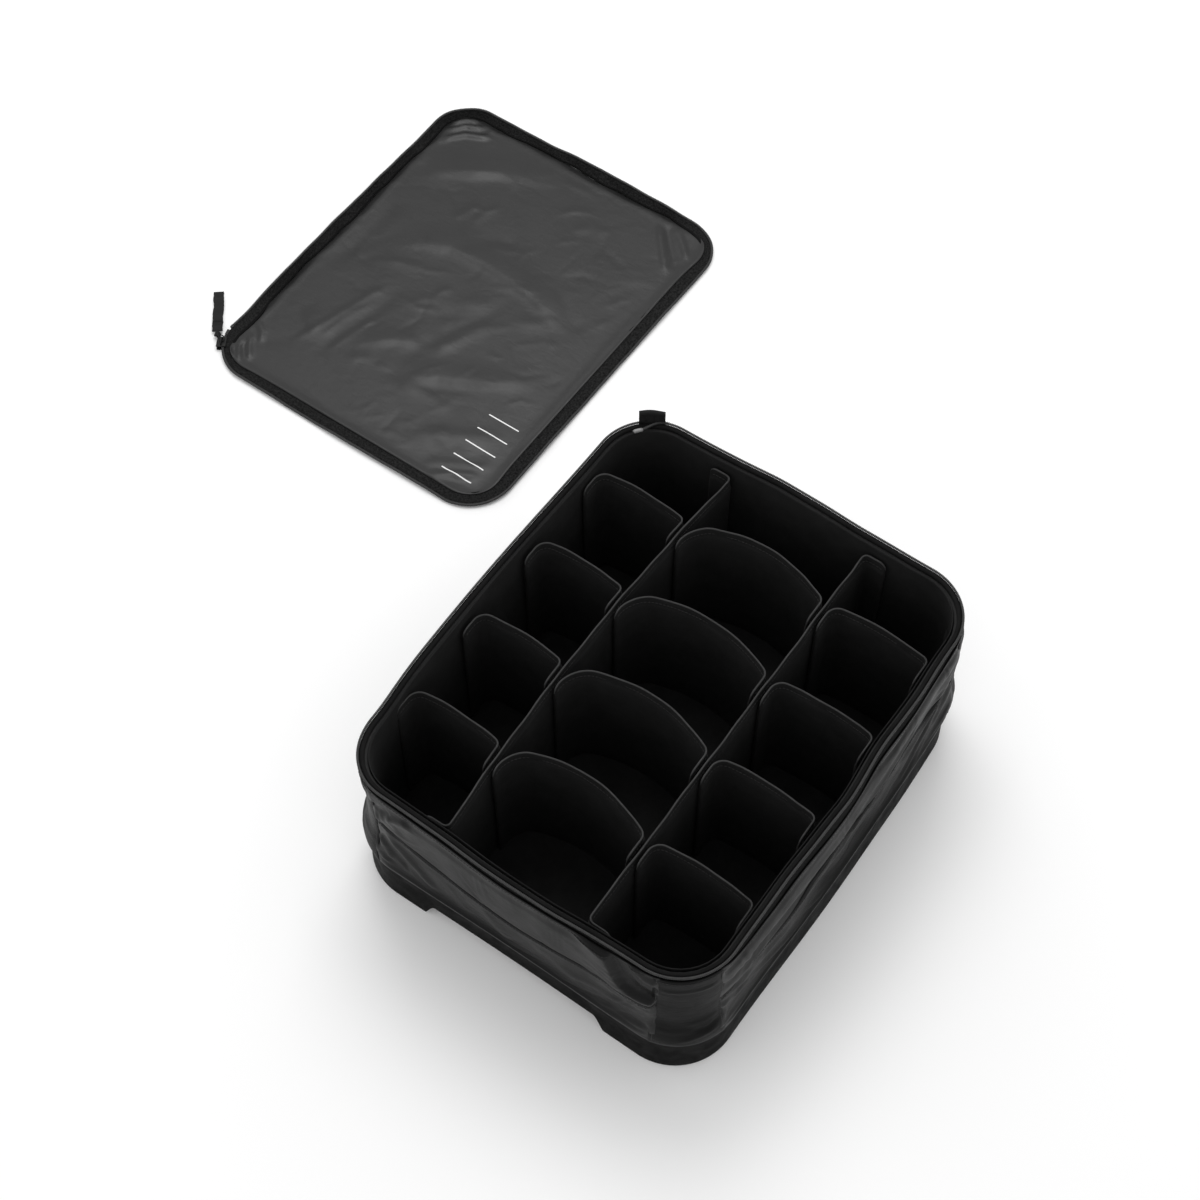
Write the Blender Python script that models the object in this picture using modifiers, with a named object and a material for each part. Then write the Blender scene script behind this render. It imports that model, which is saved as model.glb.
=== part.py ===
"""Camera bag insert: a padded fabric box on a moulded base, fifteen compartments made by lift-out
dividers, and a zip-off lid that lies beside the box, inside up.

Metres, +Z up. The origin is on the floor under the middle of the whole set, box and lid together.
The box's short sides face -Y and +Y. Angles round an outline are turns of its outward normal from +X.
"""

import math

import bmesh
import bpy
import numpy as np

# Fits
FIT_GAP = 0.0003
CUT_OVERRUN = 0.010

# Box wall, measured over its fabric
RIM_WIDTH = 0.360
RIM_LENGTH = 0.440
BOX_HEIGHT = 0.190
CORNER_RADIUS = 0.062
FABRIC_THICKNESS = 0.0012
PAD_THICKNESS = 0.006
LINING_THICKNESS = 0.001
SEAM_HEIGHT = 0.120
SEAM_GAP = 0.0006
TUCK_DEPTH = 0.018
BINDING_HEIGHT = 0.0045
BINDING_ROUND = 0.0030
CORNER_FACETS = 8
CORNER_PAD_TRIM = 0.0006

# Moulded base
BASE_HEIGHT = 0.058
BASE_WALL = 0.004
BASE_SKIN = 0.0035
BASE_DRAFT = 0.002
BASE_EDGE_RADIUS = 0.008
CHANNEL_DEPTH = 0.015
CHANNEL_CEILING = 0.166
CHANNEL_SLOPE = 0.015
SKID_POCKET_LEDGE = 0.014
SKID_POCKET_RADIUS = 0.030
BOARD_THICKNESS = 0.002
FLOOR_PAD_THICKNESS = 0.006

# Corner bands of the wall
BAND_WIDTH = 0.060
BAND_THICKNESS = 0.001

# Zip, on the box and on the lid
COIL_RADIUS = 0.0015
TAPE_THICKNESS = 0.0008
TAPE_RECESS = 0.0004
BOX_TAPE_HEIGHT = 0.013
BOX_ZIP_START = math.radians(141)
BOX_ZIP_END = math.radians(107)
BOX_PIN_LENGTH = 0.007
BOX_PIN_WIDTH = 0.0026
LID_ZIP_START = math.radians(190)
LID_ZIP_END = math.radians(185)
RETAINER_LENGTH = 0.007
RETAINER_HEIGHT = 0.0044
STOP_LENGTH = 0.0035

# Webbing tab on the box
TAB_WIDTH = 0.023
TAB_RISE = 0.018
TAB_SEWN = 0.016
TAB_WEB = 0.0015
TAB_SLOT = 0.0012
TAB_TURN = math.radians(126)

# Dividers
DIVIDER_DROP = 0.012
LONG_THICKNESS = 0.005
LONG_SPACING = 0.138
LEFT_LONG_BOW = 0.010
RIGHT_LONG_BOW = 0.0
LONG_TAB = 0.022
LONG_CORNER_RADIUS = 0.005
SHORT_THICKNESS = 0.0045
SHORT_TAB = 0.026
DIVIDER_EDGE = 0.0012
ROW_PLACE_SHARES = (0.211, 0.429, 0.640, 0.850)
SIDE_BOW = 0.0040
SIDE_CORNER_RADIUS = 0.010
MIDDLE_BOW = 0.0170
MIDDLE_CORNER_RADIUS = 0.019

# Lid, lying inside up
LID_INSET = 0.001
LID_CORNER_RADIUS = 0.049
LID_PANEL_THICKNESS = 0.003
LID_TAPE_WIDTH = 0.0125
LID_TAPE_LAP = 0.004
LID_BINDING_WIDTH = 0.004
LID_BINDING_HEIGHT = 0.0012
LID_BINDING_ROUND = 0.0005
LID_SPACING = 0.115
LID_SHIFT = 0.349

# Zip slider
SLIDER_TURN = math.radians(211)
SLIDER_LENGTH = 0.012
SLIDER_WALL = 0.0011
SLIDER_CLEARANCE = 0.0007
SLIDER_SIDE = 0.0065
SLIDER_POST = 0.0022
BAIL_SPAN = 0.0085
BAIL_REACH = 0.0032
BAIL_RADIUS = 0.0007

# The slider's pull: a knotted cord loop and a ribbon
CORD_RADIUS = 0.0007
KNOT_RADIUS = 0.0042
KNOT_BACK = 0.0108
KNOT_SIDE = 0.006
RIBBON_LENGTH = 0.054
RIBBON_WIDTH = 0.010
RIBBON_THICKNESS = 0.0018
RIBBON_DROP_LENGTH = 0.014
RIBBON_TURN = math.radians(9)
CORD_LIFT_TURN = math.radians(50)
CORD_SPREAD_TURN = math.radians(17)

QUARTER_TURN = math.pi / 2
FULL_TURN = 2 * math.pi

# What follows from them
HALF_WIDTH = RIM_WIDTH / 2
HALF_LENGTH = RIM_LENGTH / 2
PAD_INSET = FABRIC_THICKNESS + FIT_GAP
LINING_INSET = PAD_INSET + PAD_THICKNESS + FIT_GAP
ROOM_INSET = LINING_INSET + LINING_THICKNESS
ROOM_HALF_WIDTH = HALF_WIDTH - ROOM_INSET
ROOM_HALF_LENGTH = HALF_LENGTH - ROOM_INSET
BASE_OUTSET = FIT_GAP + BASE_WALL
BASE_FLOOR = CHANNEL_DEPTH + BASE_SKIN
BOARD_BOTTOM = BASE_FLOOR + FIT_GAP
FLOOR_PAD_BOTTOM = BOARD_BOTTOM + BOARD_THICKNESS + FIT_GAP
LINING_BOTTOM = FLOOR_PAD_BOTTOM + FLOOR_PAD_THICKNESS + FIT_GAP
ROOM_FLOOR = LINING_BOTTOM + LINING_THICKNESS
BINDING_BOTTOM = BOX_HEIGHT - BINDING_HEIGHT
WALL_TOP = BINDING_BOTTOM - FIT_GAP
BOX_TAPE_BOTTOM = WALL_TOP - BOX_TAPE_HEIGHT
DIVIDER_BOTTOM = ROOM_FLOOR + FIT_GAP
DIVIDER_TOP = BOX_HEIGHT - DIVIDER_DROP
LID_HALF_WIDTH = HALF_WIDTH - LID_INSET
LID_HALF_LENGTH = HALF_LENGTH - LID_INSET
LID_TAPE_BOTTOM = LID_PANEL_THICKNESS + FIT_GAP
LID_TAPE_INSET = 2 * COIL_RADIUS + FIT_GAP
LID_TAPE_END = LID_TAPE_INSET + LID_TAPE_WIDTH
LID_COIL_HEIGHT = LID_TAPE_BOTTOM + TAPE_THICKNESS / 2
SLIDER_HALF_HEIGHT = COIL_RADIUS + SLIDER_CLEARANCE + SLIDER_WALL
BAIL_PLACE = (SLIDER_SIDE - SLIDER_HALF_HEIGHT) / 2
SWING_AXIS_RISE = SLIDER_HALF_HEIGHT + FIT_GAP + FIT_GAP + CORD_RADIUS
CORD_OFFSET = BAIL_RADIUS + FIT_GAP + CORD_RADIUS


def clear_scene():
    for obj in list(bpy.data.objects):
        bpy.data.objects.remove(obj, do_unlink=True)


def new_collection(name):
    collection = bpy.data.collections.new(name)
    bpy.context.scene.collection.children.link(collection)
    return collection


def finish(name, colour, roughness, metallic=0.0):
    """A material with one plain Principled BSDF."""
    material = bpy.data.materials.new(name)
    material.use_nodes = True
    shader = material.node_tree.nodes["Principled BSDF"]
    shader.inputs["Base Color"].default_value = (*colour, 1.0)
    shader.inputs["Roughness"].default_value = roughness
    shader.inputs["Metallic"].default_value = metallic
    return material


def add_object(name, data, collection, material=None, parent=None, location=(0, 0, 0)):
    obj = bpy.data.objects.new(name, data)
    collection.objects.link(obj)
    obj.parent = parent
    obj.location = location
    if material:
        data.materials.append(material)
    return obj


def empty(name, collection, parent=None, location=(0, 0, 0)):
    return add_object(name, None, collection, parent=parent, location=location)


# Outlines

def rounded_path(half_x, half_y, radius, first=0.0, last=FULL_TURN):
    """Points of a rounded rectangle, anticlockwise from one turn of its normal to another."""
    centre_x, centre_y = half_x - radius, half_y - radius
    signs = ((1, 1), (-1, 1), (-1, -1), (1, -1))
    facet = QUARTER_TURN / CORNER_FACETS
    tiny_turn = facet / 100
    points = []
    for quarter in range(math.floor(first / QUARTER_TURN), math.ceil(last / QUARTER_TURN)):
        low = max(first, quarter * QUARTER_TURN)
        high = min(last, (quarter + 1) * QUARTER_TURN)
        whole = [quarter * QUARTER_TURN + step * facet for step in range(CORNER_FACETS + 1)]
        turns = [low] + [turn for turn in whole if low + tiny_turn < turn < high - tiny_turn] + [high]
        sign_x, sign_y = signs[quarter % len(signs)]
        for turn in turns:
            points.append((sign_x * centre_x + radius * math.cos(turn),
                           sign_y * centre_y + radius * math.sin(turn)))
    return points


def box_path(inset, first=0.0, last=FULL_TURN):
    """The box's outline, drawn in by an inset from the outside of its fabric."""
    return rounded_path(HALF_WIDTH - inset, HALF_LENGTH - inset, CORNER_RADIUS - inset, first, last)


def lid_path(inset, first=0.0, last=FULL_TURN):
    return rounded_path(LID_HALF_WIDTH - inset, LID_HALF_LENGTH - inset, LID_CORNER_RADIUS - inset,
                        first, last)


def corner_point(path_function, inset, turn):
    """The point of an outline where its normal has this turn, on one of its corners."""
    return path_function(inset, turn, turn + QUARTER_TURN / CORNER_FACETS)[0]


def strip_outline(path_function, inset, thickness, first, last):
    """A closed outline for a strip that follows part of the outline."""
    outer = path_function(inset, first, last)
    inner = path_function(inset + thickness, first, last)
    return outer + inner[::-1]


# Shapes

def flat_curve(name, outlines, thickness):
    """A 2D curve of closed outlines, filled and extruded about its own plane."""
    curve = bpy.data.curves.new(name, "CURVE")
    curve.dimensions = "2D"
    curve.fill_mode = "BOTH"
    curve.extrude = thickness / 2
    for outline in outlines:
        spline = curve.splines.new("POLY")
        spline.points.add(len(outline) - 1)
        for point, (x, y) in zip(spline.points, outline):
            point.co = (x, y, 0, 1)
        spline.use_cyclic_u = True
    return curve


def plate(name, outlines, low, high, collection, material=None, parent=None, place=(0, 0)):
    """A flat plate between two heights, with a hole for each outline after the first."""
    curve = flat_curve(name, outlines, high - low)
    middle = (low + high) / 2
    return add_object(name, curve, collection, material, parent, (*place, middle))


def as_mesh(obj):
    """The same object as a mesh with its caps welded on."""
    graph = bpy.context.evaluated_depsgraph_get()
    mesh = bpy.data.meshes.new_from_object(obj.evaluated_get(graph))
    work = bmesh.new()
    work.from_mesh(mesh)
    bmesh.ops.remove_doubles(work, verts=work.verts, dist=FIT_GAP / 100)
    bmesh.ops.recalc_face_normals(work, faces=work.faces)
    work.to_mesh(mesh)
    work.free()
    name, parent, collection = obj.name, obj.parent, obj.users_collection[0]
    place = obj.matrix_world.copy()
    bpy.data.objects.remove(obj, do_unlink=True)
    made = bpy.data.objects.new(name, mesh)
    collection.objects.link(made)
    made.parent = parent
    made.matrix_world = place
    return made


def cutter(obj):
    made = as_mesh(obj) if obj.type == "CURVE" else obj
    made.hide_render = True
    made.display_type = "WIRE"
    return made


def boolean(obj, other, operation):
    modifier = obj.modifiers.new(f"{operation.lower()} {other.name}", "BOOLEAN")
    modifier.operation = operation
    modifier.object = other
    modifier.solver = "EXACT"


def extrude_to(work, verts, loop):
    """Extrudes a closed loop of points to the places of the next loop, and returns the new points."""
    edges = [work.edges.get(pair) for pair in zip(verts, verts[1:] + verts[:1])]
    made = bmesh.ops.extrude_edge_only(work, edges=edges)["geom"]
    fresh = {item for item in made if isinstance(item, bmesh.types.BMVert)}
    following = []
    for vert, place in zip(verts, loop):
        copy = next(edge.other_vert(vert) for edge in vert.link_edges if edge.other_vert(vert) in fresh)
        copy.co = place
        following.append(copy)
    return following


def loft(name, loops, closed_profile):
    """A skin through loops of equal length: a ring where the profile closes, or else a capped solid."""
    work = bmesh.new()
    first = [work.verts.new(point) for point in loops[0]]
    foot = [work.edges.new(pair) for pair in zip(first, first[1:] + first[:1])]
    verts = first
    for loop in loops[1:]:
        verts = extrude_to(work, verts, loop)
    if closed_profile:
        extrude_to(work, verts, loops[0])
        bmesh.ops.remove_doubles(work, verts=work.verts, dist=FIT_GAP / 100)
    else:
        top = [work.edges.get(pair) for pair in zip(verts, verts[1:] + verts[:1])]
        bmesh.ops.edgeloop_fill(work, edges=foot)
        bmesh.ops.edgeloop_fill(work, edges=top)
    bmesh.ops.recalc_face_normals(work, faces=work.faces)
    mesh = bpy.data.meshes.new(name)
    work.to_mesh(mesh)
    work.free()
    return mesh


def ring(name, path_function, profile):
    """A closed band round an outline, from a profile of insets and heights."""
    loops = [[(x, y, height) for x, y in path_function(inset)] for inset, height in profile]
    return loft(name, loops, closed_profile=True)


def round_topped_profile(inset, width, low, high, radius):
    """A profile with a flat foot and both upper corners rounded."""
    facets = 3
    profile = [(inset, low)]
    for side, centre in ((-1, inset + radius), (1, inset + width - radius)):
        steps = range(facets + 1) if side < 0 else range(facets, -1, -1)
        for step in steps:
            angle = QUARTER_TURN * step / facets
            profile.append((centre + side * radius * math.cos(angle),
                            high - radius + radius * math.sin(angle)))
    profile.append((inset + width, low))
    return profile


def upright_sheet(name, path, low, high, thickness, edge):
    """A panel that stands on a path: an open wall, thickened evenly and eased at its edges."""
    work = bmesh.new()
    feet = [work.verts.new((x, y, low)) for x, y in path]
    edges = [work.edges.new(pair) for pair in zip(feet, feet[1:])]
    raised = bmesh.ops.extrude_edge_only(work, edges=edges)["geom"]
    tops = [item for item in raised if isinstance(item, bmesh.types.BMVert)]
    bmesh.ops.translate(work, verts=tops, vec=(0, 0, high - low))
    bmesh.ops.recalc_face_normals(work, faces=work.faces)
    mesh = bpy.data.meshes.new(name)
    work.to_mesh(mesh)
    work.free()
    obj = bpy.data.objects.new(name, mesh)
    solidify = obj.modifiers.new("thickness", "SOLIDIFY")
    solidify.thickness = thickness
    solidify.offset = 0
    solidify.use_even_offset = True
    bevel = obj.modifiers.new("eased edges", "BEVEL")
    bevel.width = edge
    bevel.segments = 1
    bevel.limit_method = "ANGLE"
    bevel.angle_limit = math.radians(60)
    return obj


def tube(name, points, radius, resolution, cyclic=False):
    """A round cord or coil on straight runs between points."""
    curve = bpy.data.curves.new(name, "CURVE")
    curve.dimensions = "3D"
    curve.bevel_depth = radius
    curve.bevel_resolution = resolution
    curve.use_fill_caps = True
    spline = curve.splines.new("POLY")
    spline.points.add(len(points) - 1)
    for point, place in zip(spline.points, points):
        point.co = (*place, 1)
    spline.use_cyclic_u = cyclic
    return curve


def smooth_through(points, steps):
    """Points of a Catmull-Rom curve through the given points."""
    fixed = [np.array(point, float) for point in points]
    fixed = [2 * fixed[0] - fixed[1]] + fixed + [2 * fixed[-1] - fixed[-2]]
    path = []
    for before, start, end, after in zip(fixed, fixed[1:], fixed[2:], fixed[3:]):
        for step in range(steps):
            t = step / steps
            path.append(0.5 * (2 * start + (end - before) * t
                               + (2 * before - 5 * start + 4 * end - after) * t ** 2
                               + (3 * start - before - 3 * end + after) * t ** 3))
    path.append(fixed[-2])
    return [tuple(point) for point in path]


# Base

def base_sections():
    """Outlines of the base from its flat bottom, round its lower edge and up its drafted wall."""
    facets = 4
    sections = []
    for step in range(facets + 1):
        angle = QUARTER_TURN * step / facets
        inset = BASE_DRAFT + BASE_EDGE_RADIUS * (1 - math.sin(angle))
        sections.append((inset - BASE_OUTSET, BASE_EDGE_RADIUS * (1 - math.cos(angle))))
    sections.append((-BASE_OUTSET, BASE_HEIGHT))
    return sections


def channel_outline():
    """Cross-section of the channel: eased slopes on both sides of a flat ceiling."""
    facets = 6
    half_ceiling = CHANNEL_CEILING / 2
    slope = []
    for step in range(facets + 1):
        share = step / facets
        eased_share = (1 - math.cos(math.pi * share)) / 2
        slope.append((half_ceiling + CHANNEL_SLOPE * (1 - share), CHANNEL_DEPTH * eased_share))
    foot = [(half_ceiling + CHANNEL_SLOPE, -CUT_OVERRUN)]
    right = foot + slope
    left = [(-x, z) for x, z in right[::-1]]
    return right + left


def make_channel_cutter(collection, parent):
    curve = flat_curve("channel_cutter", [channel_outline()], RIM_LENGTH + 2 * BASE_OUTSET + CUT_OVERRUN)
    obj = add_object("channel_cutter", curve, collection, parent=parent)
    obj.rotation_euler = (QUARTER_TURN, 0, 0)
    bpy.context.view_layer.update()
    return cutter(obj)


def make_base(parts, cutters, parent, material):
    """The moulded tray: a well for the padded floor, hollow skids, and a channel along its underside."""
    loops = [[(x, y, height) for x, y in box_path(inset)] for inset, height in base_sections()]
    base = add_object("base_shell", loft("base_shell", loops, closed_profile=False), parts, material, parent)
    well = plate("well_cutter", [box_path(-FIT_GAP)], BASE_FLOOR, BASE_HEIGHT + CUT_OVERRUN, cutters,
                 parent=parent)
    boolean(base, cutter(well), "DIFFERENCE")
    inner_side = CHANNEL_CEILING / 2 + CHANNEL_SLOPE + BASE_SKIN
    outer_side = HALF_WIDTH - SKID_POCKET_LEDGE
    outline = rounded_path((outer_side - inner_side) / 2, HALF_LENGTH - SKID_POCKET_LEDGE,
                           min(SKID_POCKET_RADIUS, (outer_side - inner_side) / 2))
    for side, word in ((-1, "left"), (1, "right")):
        place = (side * (inner_side + outer_side) / 2, 0)
        pocket = plate(f"{word}_skid_cutter", [outline], BASE_SKIN, BASE_FLOOR + CUT_OVERRUN, cutters,
                       parent=parent, place=place)
        boolean(base, cutter(pocket), "DIFFERENCE")
    boolean(base, make_channel_cutter(cutters, parent), "DIFFERENCE")
    return base


def make_floor(parts, parent, board, foam):
    plate("floor_board", [box_path(LINING_INSET)], BOARD_BOTTOM, BOARD_BOTTOM + BOARD_THICKNESS, parts,
          board, parent)
    plate("floor_pad", [box_path(LINING_INSET)], FLOOR_PAD_BOTTOM, FLOOR_PAD_BOTTOM + FLOOR_PAD_THICKNESS,
          parts, foam, parent)


# Walls

def make_wall_pads(parts, parent, foam):
    """Four straight foam pads and four corner pads, butted with a small trim between them."""
    trim_turn = CORNER_PAD_TRIM / (CORNER_RADIUS - PAD_INSET)
    corner_names = ("back_right", "back_left", "front_left", "front_right")
    side_names = ("back", "left", "front", "right")
    for quarter, name in enumerate(corner_names):
        first = quarter * QUARTER_TURN + trim_turn
        last = (quarter + 1) * QUARTER_TURN - trim_turn
        outline = strip_outline(box_path, PAD_INSET, PAD_THICKNESS, first, last)
        plate(f"corner_pad_{name}", [outline], BOARD_BOTTOM, WALL_TOP, parts, foam, parent)
    for quarter, name in enumerate(side_names):
        turn = (quarter + 1) * QUARTER_TURN
        ends_outer = box_path(PAD_INSET)
        ends_inner = box_path(PAD_INSET + PAD_THICKNESS)
        last_of_corner = (quarter + 1) * (CORNER_FACETS + 1) - 1
        first_of_next = (last_of_corner + 1) % len(ends_outer)
        along = (-math.sin(turn), math.cos(turn))
        outline = []
        for path, index, sign in ((ends_outer, last_of_corner, 1), (ends_outer, first_of_next, -1),
                                  (ends_inner, first_of_next, -1), (ends_inner, last_of_corner, 1)):
            x, y = path[index]
            outline.append((x + sign * CORNER_PAD_TRIM * along[0], y + sign * CORNER_PAD_TRIM * along[1]))
        plate(f"wall_pad_{name}", [outline], BOARD_BOTTOM, WALL_TOP, parts, foam, parent)


def make_lining(parts, parent, material):
    """The velour tray inside the pads: one open skin, thickened inwards."""
    outline = box_path(LINING_INSET)
    floor = [(x, y, LINING_BOTTOM) for x, y in outline]
    top = [(x, y, WALL_TOP) for x, y in outline]
    mesh = loft("lining", [floor, top], closed_profile=False)
    work = bmesh.new()
    work.from_mesh(mesh)
    lid_faces = [face for face in work.faces if face.calc_center_median().z > WALL_TOP - FIT_GAP]
    bmesh.ops.delete(work, geom=lid_faces, context="FACES_ONLY")
    work.to_mesh(mesh)
    work.free()
    obj = add_object("lining", mesh, parts, material, parent)
    solidify = obj.modifiers.new("thickness", "SOLIDIFY")
    solidify.thickness = LINING_THICKNESS
    solidify.offset = -1
    solidify.use_even_offset = True
    return obj


def make_wall_fabric(parts, parent, material):
    lower = [box_path(0), box_path(FABRIC_THICKNESS)]
    plate("lower_panel", lower, BASE_HEIGHT - TUCK_DEPTH, SEAM_HEIGHT - SEAM_GAP / 2, parts, material, parent)
    plate("upper_panel", lower, SEAM_HEIGHT + SEAM_GAP / 2, BOX_TAPE_BOTTOM - FIT_GAP, parts, material,
          parent)


def make_corner_bands(parts, parent, material):
    """An upright band of doubled fabric over each corner."""
    half_turn = BAND_WIDTH / CORNER_RADIUS / 2
    outset = FIT_GAP + BAND_THICKNESS
    for quarter, name in enumerate(("back_right", "back_left", "front_left", "front_right")):
        middle = (quarter + 1 / 2) * QUARTER_TURN
        outline = strip_outline(box_path, -outset, BAND_THICKNESS, middle - half_turn, middle + half_turn)
        plate(f"corner_band_{name}", [outline], BASE_HEIGHT + FIT_GAP, WALL_TOP, parts, material, parent)


def make_rim(parts, parent, velour):
    profile = round_topped_profile(0, ROOM_INSET, BINDING_BOTTOM, BOX_HEIGHT, BINDING_ROUND)
    add_object("rim_binding", ring("rim_binding", box_path, profile), parts, velour, parent)


def make_box_zip(parts, parent, tape, coil):
    outer = TAPE_RECESS
    rings = [box_path(outer), box_path(outer + TAPE_THICKNESS)]
    plate("box_zip_tape", rings, BOX_TAPE_BOTTOM, WALL_TOP, parts, tape, parent)
    outset = COIL_RADIUS + FIT_GAP
    height = BINDING_BOTTOM + COIL_RADIUS
    path = box_path(-outset, BOX_ZIP_START, BOX_ZIP_END + FULL_TURN)
    points = [(x, y, height) for x, y in path]
    add_object("box_zip_coil", tube("box_zip_coil", points, COIL_RADIUS, 1), parts, coil, parent)
    pin_turn = BOX_PIN_LENGTH / CORNER_RADIUS
    gap_turn = FIT_GAP / CORNER_RADIUS
    pin = strip_outline(box_path, -FIT_GAP - BOX_PIN_WIDTH, BOX_PIN_WIDTH, BOX_ZIP_END + gap_turn,
                        BOX_ZIP_END + gap_turn + pin_turn)
    plate("box_zip_pin", [pin], BINDING_BOTTOM, BINDING_BOTTOM + 2 * COIL_RADIUS, parts, coil, parent)


def make_tab(parts, parent, webbing):
    """A strip of webbing folded into a flat loop that stands on the wall's outside."""
    half_depth = TAB_WEB + TAB_SLOT / 2
    inner_radius = TAB_SLOT / 2
    facets = 6
    height = TAB_SEWN + TAB_RISE
    arch = [math.pi * step / facets for step in range(facets + 1)]
    centre = height - half_depth
    outer = [(half_depth, 0)] + [(half_depth * math.cos(a), centre + half_depth * math.sin(a)) for a in arch]
    outer.append((-half_depth, 0))
    slot = [(inner_radius, TAB_SEWN)]
    slot += [(inner_radius * math.cos(a), centre + inner_radius * math.sin(a)) for a in arch]
    slot.append((-inner_radius, TAB_SEWN))
    curve = flat_curve("pull_tab", [outer, slot], TAB_WIDTH)
    outset = FIT_GAP + BAND_THICKNESS + FIT_GAP + half_depth
    x, y = corner_point(box_path, -outset, TAB_TURN)
    obj = add_object("pull_tab", curve, parts, webbing, parent, (x, y, BOX_HEIGHT - TAB_SEWN))
    obj.rotation_euler = (QUARTER_TURN, 0, TAB_TURN)
    return obj


# Dividers

def long_face(side, bow, face):
    """The x of one face of a long divider at a given y, as a function of y."""
    def x_at(y):
        share = y / ROOM_HALF_LENGTH
        return side * (LONG_SPACING / 2 + bow * (1 - share ** 2)) + face * LONG_THICKNESS / 2
    return x_at


def make_long_divider(parts, parent, material, side, bow, name):
    """A padded panel from wall to wall whose ends fold outwards as hook tabs."""
    x_at = long_face(side, bow, 0)
    end = ROOM_HALF_LENGTH - FIT_GAP - LONG_THICKNESS / 2
    radius = LONG_CORNER_RADIUS
    facets = 3
    spans = 10
    half = []
    for step in range(facets, -1, -1):
        angle = QUARTER_TURN * step / facets
        half.append((side * radius * (1 - math.cos(angle)), end - radius * (1 - math.sin(angle))))
    back = [(x_at(end) + side * LONG_TAB, end)] + [(x_at(y) + x, y) for x, y in half]
    front = [(x, -y) for x, y in back[::-1]]
    run = np.linspace(end - radius, radius - end, spans + 1)[1:-1]
    path = back + [(x_at(y), y) for y in run] + front
    place_x = x_at(0)
    obj = upright_sheet(name, [(x - place_x, y) for x, y in path], 0, DIVIDER_TOP - DIVIDER_BOTTOM,
                        LONG_THICKNESS, DIVIDER_EDGE)
    return place_divider(obj, parts, parent, material, (place_x, 0))


def place_divider(obj, parts, parent, material, place):
    parts.objects.link(obj)
    obj.parent = parent
    obj.location = (*place, DIVIDER_BOTTOM)
    obj.data.materials.append(material)
    return obj


def short_divider_path(left_face, right_face, row, bow, radius):
    """A bowed span between two faces, turned at both ends into tabs that lie on them."""
    offset = FIT_GAP + SHORT_THICKNESS / 2
    facets = 4
    spans = 6

    def place(from_left, y):
        left = left_face(y) + offset
        right = right_face(y) - offset
        return left + from_left * (right - left), y

    width = right_face(row) - left_face(row) - 2 * offset
    radius_share = radius / width

    def bowed(share):
        return row + bow * (1 - (2 * share - 1) ** 2)

    corner = []
    for step in range(facets + 1):
        angle = QUARTER_TURN * step / facets
        corner.append((radius_share * (1 - math.cos(angle)), radius * (1 - math.sin(angle))))
    left_end = [place(share, bowed(share) - drop) for share, drop in corner]
    right_end = [place(1 - share, bowed(1 - share) - drop) for share, drop in corner[::-1]]
    middle_shares = np.linspace(radius_share, 1 - radius_share, spans + 1)[1:-1]
    middle = [place(share, bowed(share)) for share in middle_shares]
    return [place(0, row - SHORT_TAB)] + left_end + middle + right_end + [place(1, row - SHORT_TAB)]


def make_dividers(parts, parent, material):
    make_long_divider(parts, parent, material, -1, LEFT_LONG_BOW, "long_divider_left")
    make_long_divider(parts, parent, material, 1, RIGHT_LONG_BOW, "long_divider_right")
    columns = {
        "left": (lambda y: -ROOM_HALF_WIDTH, long_face(-1, LEFT_LONG_BOW, -1), SIDE_BOW, SIDE_CORNER_RADIUS),
        "middle": (long_face(-1, LEFT_LONG_BOW, 1), long_face(1, RIGHT_LONG_BOW, -1), MIDDLE_BOW,
                   MIDDLE_CORNER_RADIUS),
        "right": (long_face(1, RIGHT_LONG_BOW, 1), lambda y: ROOM_HALF_WIDTH, SIDE_BOW, SIDE_CORNER_RADIUS),
    }
    for column, (left_face, right_face, bow, radius) in columns.items():
        for number, share in enumerate(ROW_PLACE_SHARES, start=1):
            row = (2 * share - 1) * ROOM_HALF_LENGTH
            path = short_divider_path(left_face, right_face, row, bow, radius)
            place = ((left_face(row) + right_face(row)) / 2, row)
            local = [(x - place[0], y - place[1]) for x, y in path]
            obj = upright_sheet(f"divider_{column}_{number}", local, 0, DIVIDER_TOP - DIVIDER_BOTTOM,
                                SHORT_THICKNESS, DIVIDER_EDGE)
            place_divider(obj, parts, parent, material, place)


# Lid

def make_lid(parts, parent, fabric, binding, tape, coil):
    """The lid lying inside up: its panel on the floor and its half of the zip laid out flat round it."""
    plate("lid_panel", [lid_path(LID_TAPE_END - LID_TAPE_LAP)], 0, LID_PANEL_THICKNESS, parts, fabric,
          parent)
    tape_top = LID_TAPE_BOTTOM + TAPE_THICKNESS
    outline = strip_outline(lid_path, LID_TAPE_INSET, LID_TAPE_WIDTH, LID_ZIP_START,
                            LID_ZIP_END + FULL_TURN)
    plate("lid_zip_tape", [outline], LID_TAPE_BOTTOM, tape_top, parts, tape, parent)
    binding_bottom = tape_top + FIT_GAP
    profile = round_topped_profile(LID_TAPE_END - LID_BINDING_WIDTH / 2, LID_BINDING_WIDTH,
                                   binding_bottom, binding_bottom + LID_BINDING_HEIGHT, LID_BINDING_ROUND)
    add_object("lid_binding", ring("lid_binding", lid_path, profile), parts, binding, parent)
    make_lid_chain(parts, parent, coil)


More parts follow.
